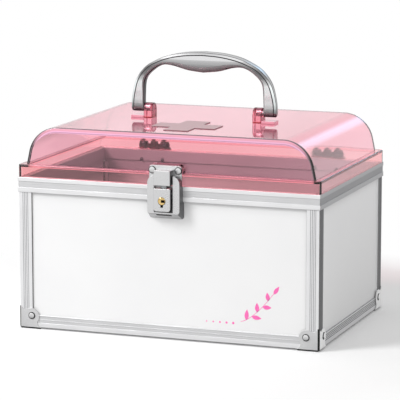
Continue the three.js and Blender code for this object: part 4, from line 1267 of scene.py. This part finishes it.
def handle_paint(rings):
    """Numbers each face for painted shade and reflections: dark lines along the chamfers, the inner corners
    and the legs' ends, a dull darker inner side, and two bands on the outer side, lighter in front, darker at
    the rear."""
    fillet = SECTION_STEPS + 1
    front_band, rear_band = 3 * fillet, 3 * fillet + 1
    line_faces = {
        *range(fillet, 2 * fillet), *range(2 * fillet + 1, 3 * fillet),
        *range(3 * fillet + 2, 4 * fillet + 1), *range(4 * fillet + 2, 5 * fillet + 2),
    }
    last = len(rings[0]) - 1
    marks = KDTree((len(rings) - 1) * len(rings[0]))
    numbers = []
    for row, (near, far) in enumerate(zip(rings, rings[1:])):
        at_end = min(row, len(rings) - 2 - row) < LEG_END_ROWS
        dark_rows = 3 if abs(near[0][1] - near[last][1]) > LEG_FLAT else 2
        for i in range(len(near)):
            corners = [Vector(ring[j]) for ring in (near, far) for j in (i, (i + 1) % len(near))]
            marks.insert(sum(corners, Vector()) / 4, len(numbers))
            from_inside = min(i, last - 1 - i)
            tone = 4 if from_inside < SECTION_STEPS else {front_band: 2, rear_band: 3}.get(i, 0)
            numbers.append(1 if at_end or i in line_faces or from_inside < dark_rows else tone)
    marks.balance()

    def paint(middle, normal):
        faces_inwards = normal.x * middle.x < -FACING * abs(middle.x)
        return 1 if faces_inwards else numbers[marks.find(middle)[1]]

    return paint


def make_handle():
    rings = [*reversed(half_handle(-1)), *half_handle(1)[1:]]
    bail = cut(skin(rings), *pivot_bores(LEG_INNER - PAST, LEG_INNER + LEG_BORE))
    detail("handle", bail, "handle", "handle_chrome",
           ["chrome", "chrome_line", "chrome_side", "chrome_rear", "chrome_under"],
           paint=handle_paint(rings), sharp=30)
    for name, side in PAIR.items():
        span = mirrored(side, LUG_INNER + PIN_BLIND_WALL + FIT, LEG_INNER + LEG_BORE - FIT)
        pin = bevel(rod("x", PIVOT_RADIUS, span, (MID_Y, PIVOT_Z)), PIN_EDGE)
        detail(f"handle_pin_{name}", pin, "lid", "plated_steel", ["nickel"])


# Hinges, drawn about x = 0 and then moved to each side


def hinge_leaf(direction, rivet_z, knuckles):
    """A leaf with a lobed edge, up (1) or down (-1) from its knuckles, with necks between the two."""
    face = (REAR, REAR + LEAF_SHEET)
    clear = HINGE_PIN_Z + direction * KNUCKLE_RADIUS
    plate = block(centred(LEAF_HALF_LENGTH), face, sorted((clear, rivet_z)))
    lobes = [rod("y", LEAF_LOBE, face, (x, rivet_z), 40) for x in centred(LEAF_LOBE_X)]
    middle_z = rivet_z + direction * (LEAF_LOBE - LEAF_MIDDLE_LOBE)
    middle = rod("y", LEAF_MIDDLE_LOBE, face, (0, middle_z), 40)
    near = RIM_BOTTOM if direction > 0 else HINGE_PIN_Z
    necks = [block(span, face, sorted((near, rivet_z))) for span in knuckles]
    barrels = [rod("x", KNUCKLE_RADIUS, span, (HINGE_PIN_Y, HINGE_PIN_Z)) for span in knuckles]
    leaf = bevel(unite(plate, *lobes, middle, *necks), LEAF_EDGE)
    return unite(leaf, *[bevel(barrel, KNUCKLE_EDGE) for barrel in barrels])


def make_hinges():
    outer = [mirrored(side, MIDDLE_KNUCKLE + KNUCKLE_GAP, LEAF_HALF_LENGTH) for side in (-1, 1)]
    leaves = (
        ("upper", "lid", 1, UPPER_RIVET_Z, [centred(MIDDLE_KNUCKLE)], LEAF_SHEET + LID_WALL),
        ("lower", "case", -1, LOWER_RIVET_Z, outer, LEAF_SHEET + TOP_RAIL_WIDTH),
    )
    for name, side in PAIR.items():
        for leaf, body, direction, rivet_z, knuckles, grip in leaves:
            item = hinge_leaf(direction, rivet_z, knuckles)
            detail(f"hinge_{leaf}_leaf_{name}", item, body, "plated_steel", ["nickel", "shade"],
                   Matrix.Translation((side * HINGE_X, 0, 0)), lambda middle, normal: int(normal.y < 0.9))
            for end, sign in ENDS.items():
                at = Matrix.Translation((side * HINGE_X + sign * LEAF_LOBE_X, REAR + LEAF_SHEET, rivet_z))
                turned = at @ Matrix.Rotation(math.pi, 4, "Z")
                rivet(f"hinge_{leaf}_rivet_{name}_{end}", body, turned, HINGE_RIVET, grip)


# Latch


def ahead(distance):
    return FRONT - distance


def between(back, front):
    return ahead(front), ahead(back)


def latch_block(half, back, front, low, high):
    return block(centred(half), between(back, front), (low, high))


def latch_plate(half, heights, corners, depths, edge, steps=5):
    """A plate that faces forwards, with its corners and its edges rounded."""
    outline = rounded_rectangle(centred(half), heights, *corners, steps)
    return bevel(prism(outline, "y", *between(*depths)), edge, 3)


def catch_plate():
    """The lid's half: a plate with a hollow block, open below, and a ledge inside for the hook."""
    inside = BLOCK_HALF_WIDTH - BLOCK_WALL
    low, high = BLOCK_HEIGHTS
    plate = latch_plate(CATCH_HALF_WIDTH, CATCH_HEIGHTS, CATCH_CORNERS, (0, CATCH_SHEET), CATCH_EDGE)
    depths = CATCH_SHEET / 2, BLOCK_FRONT
    body = latch_plate(BLOCK_HALF_WIDTH, BLOCK_HEIGHTS, BLOCK_CORNERS, depths, BLOCK_EDGE)
    hollow = latch_block(inside, CATCH_SHEET, BLOCK_FRONT - BLOCK_WALL, low - PAST, high - BLOCK_WALL)
    ledge = latch_block(inside + BLOCK_WALL / 2, LEDGE_BACK, BLOCK_FRONT - BLOCK_WALL / 2, *LEDGE_HEIGHTS)
    item = unite(plate, cut(body, hollow), ledge)

    # Painted shade: the block's sides darker and its hollow black
    def paint(middle, normal):
        beside = abs(middle.x) > inside + MARGIN
        if beside and (normal.x < -0.3 or normal.x > 0.5):
            return 2
        in_hollow = ahead(BLOCK_FRONT - BLOCK_WALL / 2) < middle.y < ahead(CATCH_SHEET)
        return int(abs(middle.x) < inside + MARGIN and in_hollow and middle.z < high - 1)

    detail("catch_plate", item, "lid", "plated_steel", ["nickel", "black_shade", "nickel_side"], paint=paint)


def tray_outline(depth, inset):
    """The tray's outline at a depth behind its front face, where it flares to the sides and downwards."""
    widen = 1 + (TRAY_HALF_WIDTHS[1] / TRAY_HALF_WIDTHS[0] - 1) * depth / TRAY_FRONT
    drop = TRAY_FLARE * depth / TRAY_FRONT
    outline = rounded_rectangle(
        centred(TRAY_HALF_WIDTHS[0] - inset),
        (TRAY_HEIGHTS[0] + inset, TRAY_HEIGHTS[1] - inset),
        TRAY_BOTTOM_CORNER - inset, TRAY_TOP_CORNER - inset, 8,
    )
    middle = sum(TRAY_HEIGHTS) / 2
    return [(x * widen, z - drop if z < middle else z) for x, z in outline]


def latch_tray():
    """The case's half: a frame that flares towards the wall, open at the top and hollow for the lever."""
    rings = [(TRAY_FRONT + PANEL_FACE + PAST, 0.0), *quarter_round(TRAY_EDGE, 3)]
    cast = skin([
        on_axis("y", tray_outline(depth, inset), ahead(TRAY_FRONT - depth)) for depth, inset in rings
    ])
    wide, inside = 2 * TRAY_HALF_WIDTHS[1], -2 * TOP_RAIL_WIDTH
    low, high = TRAY_HEIGHTS[0] - 10, TRAY_HEIGHTS[1] + 10
    tools = [
        latch_block(wide, inside, -PANEL_FACE, low, high),
        latch_block(wide, inside, 0, TOP_RAIL_BOTTOM - FIT, high),
        latch_block(wide, inside, CATCH_SHEET + TRAY_RUNNING_GAP, FRAME_TOP, high),
        latch_block(CHANNEL_HALF_WIDTH, inside, TRAY_FRONT + PAST, CHANNEL_FLOOR, high),
        latch_block(FINGER_SLOT_HALF_WIDTH, *FINGER_SLOT_DEPTHS, low, CHANNEL_FLOOR + PAST),
    ]
    keeper_top = CHANNEL_FLOOR + KEEPER_HEIGHT
    keeper = latch_block(KEEPER_HALF_WIDTH, *KEEPER_DEPTHS, CHANNEL_FLOOR - PAST, keeper_top)
    item = bevel(unite(cut(cast, *tools), keeper), TRAY_INNER_EDGE, 2, 55)
    slot_near, slot_far = between(*FINGER_SLOT_DEPTHS)

    # Painted shade: the finger slot black, the flanks darker, and faces turned down and the tops above the
    # frame darker
    def paint(middle, normal):
        in_slot = slot_near - NEAR < middle.y < slot_far + NEAR and middle.z < CHANNEL_FLOOR - MARGIN
        if in_slot and abs(middle.x) < FINGER_SLOT_HALF_WIDTH + MARGIN and abs(normal.z) < 0.9:
            return 1
        if abs(normal.x) > 0.35 and normal.y > -0.6 and abs(middle.x) > CHANNEL_HALF_WIDTH + 0.5:
            return 2
        faces_down = normal.z < -0.35 and middle.z < CHANNEL_FLOOR
        return 3 if faces_down or normal.z > 0.2 and middle.z > FRAME_TOP else 0

    detail("latch_tray", item, "case", "plated_steel", ["nickel", "black_shade", "nickel_side", "nickel_under"],
           paint=paint)


def latch_lever():
    depths = LEVER_BACK, BLOCK_FRONT
    body = latch_plate(BLOCK_HALF_WIDTH, LEVER_HEIGHTS, LEVER_CORNERS, depths, BLOCK_EDGE, 8)
    (back, front, _), foot, top = HOOK_DEPTHS, HOOK_HEIGHTS[0], LEVER_HEIGHTS[1]
    half, clear = HOOK_HALF_WIDTH + FIT, BLOCK_FRONT + PAST
    seat = latch_block(half + HOOK_SEAT_WALL, back - HOOK_SEAT_WALL, front, foot, top - BLOCK_EDGE)
    slot = latch_block(half, back, front + FIT, foot, top + PAST)
    pin_hole = rod("x", LEVER_PIN_RADIUS + FIT, centred(BLOCK_HALF_WIDTH + PAST),
                   (ahead(LEVER_PIN_AHEAD), LEVER_PIN_Z))
    lock_hole = rod("y", LOCK_RADIUS + FIT, between(LEVER_BACK - PAST, clear), (0, LOCK_Z), 48)
    notch_back = BLOCK_FRONT - NOTCH_DEPTH
    notch = latch_block(NOTCH_HALF_WIDTH, notch_back, clear, NOTCH_BOTTOM, LOCK_Z)
    item = cut(unite(body, seat), slot, pin_hole, lock_hole, notch)

    # Painted shade: the lock's bore and the notch black, and the lever's sides darker
    def paint(middle, normal):
        depth = middle.y - ahead(BLOCK_FRONT)
        near_notch = abs(middle.x) < NOTCH_HALF_WIDTH + NEAR and NOTCH_BOTTOM - NEAR < middle.z < LOCK_Z
        in_bore = math.hypot(middle.x, middle.z - LOCK_Z) < LOCK_RADIUS + FIT + NEAR and depth > NEAR
        if in_bore or near_notch and NEAR < depth < NOTCH_DEPTH + MARGIN:
            return 1
        return 2 if normal.x < -0.3 or normal.x > 0.35 and normal.y > -0.6 else 0

    detail("latch_lever", item, "lever", "plated_steel", ["nickel", "black_shade", "lever_side"], paint=paint)


def latch_hook():
    back, shank, nose = (ahead(depth) for depth in HOOK_DEPTHS)
    foot, nose_bottom, top = HOOK_HEIGHTS
    outline = filleted([
        (back, foot, 0), (back, top, HOOK_ROUND), (nose, top, HOOK_ROUND),
        (nose, nose_bottom, HOOK_ROUND), (shank, nose_bottom, 0), (shank, foot, 0),
    ], 3)
    item = bevel(prism(outline, "x", *centred(HOOK_HALF_WIDTH)), HOOK_EDGE)
    detail("latch_hook", item, "lever", "plain_steel", ["steel"])


def lock_cylinder():
    """The lock's face: a brass ring round a keyway that runs out to one side."""
    rim = [(LOCK_RADIUS - inset, ahead(LOCK_FRONT - drop)) for inset, drop in LOCK_RIM]
    body = lathe([(LOCK_RADIUS, ahead(LOCK_BACK)), *rim], 48)
    for vertex in body.data.vertices:
        vertex.co.z += LOCK_Z
    keyway = block(KEYWAY_X, between(LOCK_FRONT - KEYWAY_DEPTH, LOCK_FRONT + PAST),
                   centred(KEYWAY_HALF_HEIGHT, LOCK_Z))

    # Painted shade: the keyway black inside
    def paint(middle, normal):
        inside_x = KEYWAY_X[0] - KEYWAY_NEAR < middle.x < KEYWAY_X[1] + KEYWAY_NEAR
        inside_z = abs(middle.z - LOCK_Z) < KEYWAY_HALF_HEIGHT + KEYWAY_NEAR
        return int(inside_x and inside_z and middle.y > ahead(LOCK_FRONT) + 2 * MARGIN)

    detail("lock_cylinder", cut(body, keyway), "lock", "lock_brass", ["brass", "black_shade"], paint=paint)


def make_latch():
    catch_plate()
    latch_tray()
    latch_lever()
    latch_hook()
    lock_cylinder()
    for name, side in PAIR.items():
        at = Matrix.Translation((side * CATCH_RIVET_X, ahead(CATCH_SHEET), CATCH_RIVET_Z))
        rivet(f"catch_rivet_{name}", "lid", at, CATCH_RIVET, CATCH_SHEET + DOME_INSET + LID_WALL)


# A plain printed ornament on the front board: a sprig with leaves on both sides, and a row of dots beside
# it. Each leaf has its point on the stem and its side, and the tip's leaf its length, half width and angle.
# The first dot and leaf are the largest, and each next one shrinks
PRINT_RISE = 0.03
STEM_FOOT = (78, 24)
STEM_REACH = (34, 30)
STEM_WIDTH = 0.5
STEM_STEPS = 12
STEM_BEND = 1.5
STEM_LEAN = 0.6
LEAVES = ((2, 1), (4, -1), (6, 1), (8, -1), (10, 1))
LEAF_LENGTH = 11
LEAF_HALF_WIDTH = 2.2
LEAF_SHRINK = 0.6
LEAF_DEGREES = (38, 48, 3)
LEAF_STEPS = 10
LEAF_BELLY = 0.8
TIP_LEAF = (10, 2.0, 55)
DOT_COUNT = 5
FIRST_DOT = (70, 22)
DOT_PITCH = 7
DOT_RADIUS = 1.3
DOT_SHRINK = 0.15


def printed(name, outline):
    """A thin printed shape on the front board, from its outline in x, z."""
    item = prism(outline, "y", FRONT + PANEL_FACE - PRINT_RISE, FRONT + PANEL_FACE + PRINT_RISE)
    piece(name, item, "case", "white_board", ["print"])


def leaf_outline(root, length, width, degrees):
    """A pointed leaf from its root, at an angle from +X."""
    turn = math.radians(degrees)
    side = [(length * i / LEAF_STEPS, width * math.sin(math.pi * (i / LEAF_STEPS)**LEAF_BELLY))
            for i in range(LEAF_STEPS + 1)]
    shape = side + [(x, -y) for x, y in reversed(side[1:-1])]
    return [(
        root[0] + x * math.cos(turn) - y * math.sin(turn),
        root[1] + x * math.sin(turn) + y * math.cos(turn),
    ) for x, y in shape]


def make_print():
    (foot_x, foot_z), (reach_x, reach_z) = STEM_FOOT, STEM_REACH
    stem = [(foot_x + reach_x * i / STEM_STEPS, foot_z + reach_z * (i / STEM_STEPS)**STEM_BEND)
            for i in range(STEM_STEPS + 1)]
    upper = [(x - STEM_WIDTH * STEM_LEAN, z + STEM_WIDTH) for x, z in stem]
    printed("print_stem", [*upper, *reversed(stem)])
    stem_way, spread, more = LEAF_DEGREES
    for i, (at, side) in enumerate(LEAVES):
        length, degrees = LEAF_LENGTH - LEAF_SHRINK * i, stem_way + spread * side + more * i
        printed(f"print_leaf_{i}", leaf_outline(stem[at], length, LEAF_HALF_WIDTH, degrees))
    printed("print_leaf_tip", leaf_outline(stem[-1], *TIP_LEAF))
    for i in range(DOT_COUNT):
        centre = (FIRST_DOT[0] - DOT_PITCH * i, FIRST_DOT[1])
        printed(f"print_dot_{i}", circle(centre, DOT_RADIUS - DOT_SHRINK * i, 24))


# Stage


def make_world():
    """An even studio for the light, with a white background. Reflections see it darker below, and see a
    cool bright strip behind the box."""
    world = bpy.data.worlds.new("studio")
    bpy.context.scene.world = world
    nodes = Nodes(world)
    x, y, z = nodes.split(nodes.add("TexCoord", output="Generated"))

    def eased(value, low, high, from_low, from_high):
        return value.mapped(low, high, from_low, from_high, interpolation_type="SMOOTHSTEP")

    def background(strength, colour=WHITE):
        return nodes.add("Background", {"Strength": strength, "Color": colour})

    below = eased(z, *REFLECTED_LEVELS)
    across = eased(x, 0.0, 1.0, *STRIP_LEFT) * eased(x, 1.0, 0.0, *STRIP_RIGHT)
    strip = across * (eased(y, 0.0, 1.0, *STRIP_BACK) * eased(z, 0.0, 1.0, *STRIP_FOOT))
    reflected = background(below, strip.mix(WHITE, STRIP_TINT))
    lit = nodes.light_path("Glossy").choose(background(WORLD_LEVEL), reflected)
    straight = nodes.light_path("Camera").at_least(nodes.light_path("Transmission"))
    nodes.finish(straight.choose(lit, background(1.0)), "World")


def aimed(name, data, target, away, distance):
    """A lamp or camera at a distance from its target, looking back at it."""
    holder = show(name, data)
    holder.location = target + away * distance
    holder.rotation_euler = (-away).to_track_quat("-Z", "Y").to_euler()
    return holder


def make_key():
    """One large soft lamp to the front left. Its level is what a white card facing it would show."""
    lamp = bpy.data.lights.new("key", "AREA")
    lamp.shape = "DISK"
    lamp.size = KEY_SIZE
    lamp.energy = KEY_LEVEL * math.pi**2 * KEY_DISTANCE**2
    aimed("key", lamp, KEY_AIM, KEY_FROM.normalized(), KEY_DISTANCE)


def make_floor():
    """A white floor that keeps the object's shadow near it and turns plain white further out."""
    nodes = new_material("floor")
    grain = nodes.noise(PAPER)
    paper = nodes.add("BsdfDiffuse", {"Color": grain.tones((0.975, 0.975, 0.975), (0.985, 0.985, 0.985))})
    white = nodes.add("Emission", {"Color": WHITE, "Strength": 1.0})
    far = nodes.add("VectorMath", {0: nodes.place()}, output="Value", operation="LENGTH")
    lift = nodes.light_path("Camera") * FLOOR_LIFT
    shadow_end = far.mapped(0.0, 1.0, *SHADOW_REACH).at_least(lift)
    mesh = bpy.data.meshes.new("floor")
    low, high = centred(FLOOR_HALF_SIZE)
    mesh.from_pydata([(low, low, 0), (high, low, 0), (high, high, 0), (low, high, 0)], [], [(0, 1, 2, 3)])
    mesh.materials.append(nodes.finish(shadow_end.choose(paper, white)))
    floor = show("floor", mesh)
    floor.visible_glossy = False


def make_camera():
    level = math.cos(CAMERA_PITCH)
    away = Vector((math.sin(CAMERA_YAW) * level, -math.cos(CAMERA_YAW) * level, math.sin(CAMERA_PITCH)))
    lens = bpy.data.cameras.new("camera")
    lens.sensor_width = SENSOR_MM
    lens.lens = FOCAL_PIXELS / IMAGE_PIXELS * SENSOR_MM
    lens.clip_end = CAMERA_REACH
    bpy.context.scene.camera = aimed("camera", lens, CAMERA_AIM, away, CAMERA_DISTANCE)


make_body()
lid_shell()
cross_emblem()
make_handle()
make_hinges()
make_latch()
make_print()
make_world()
make_key()
make_floor()
make_camera()
bpy.context.scene.view_settings.view_transform = "Standard"
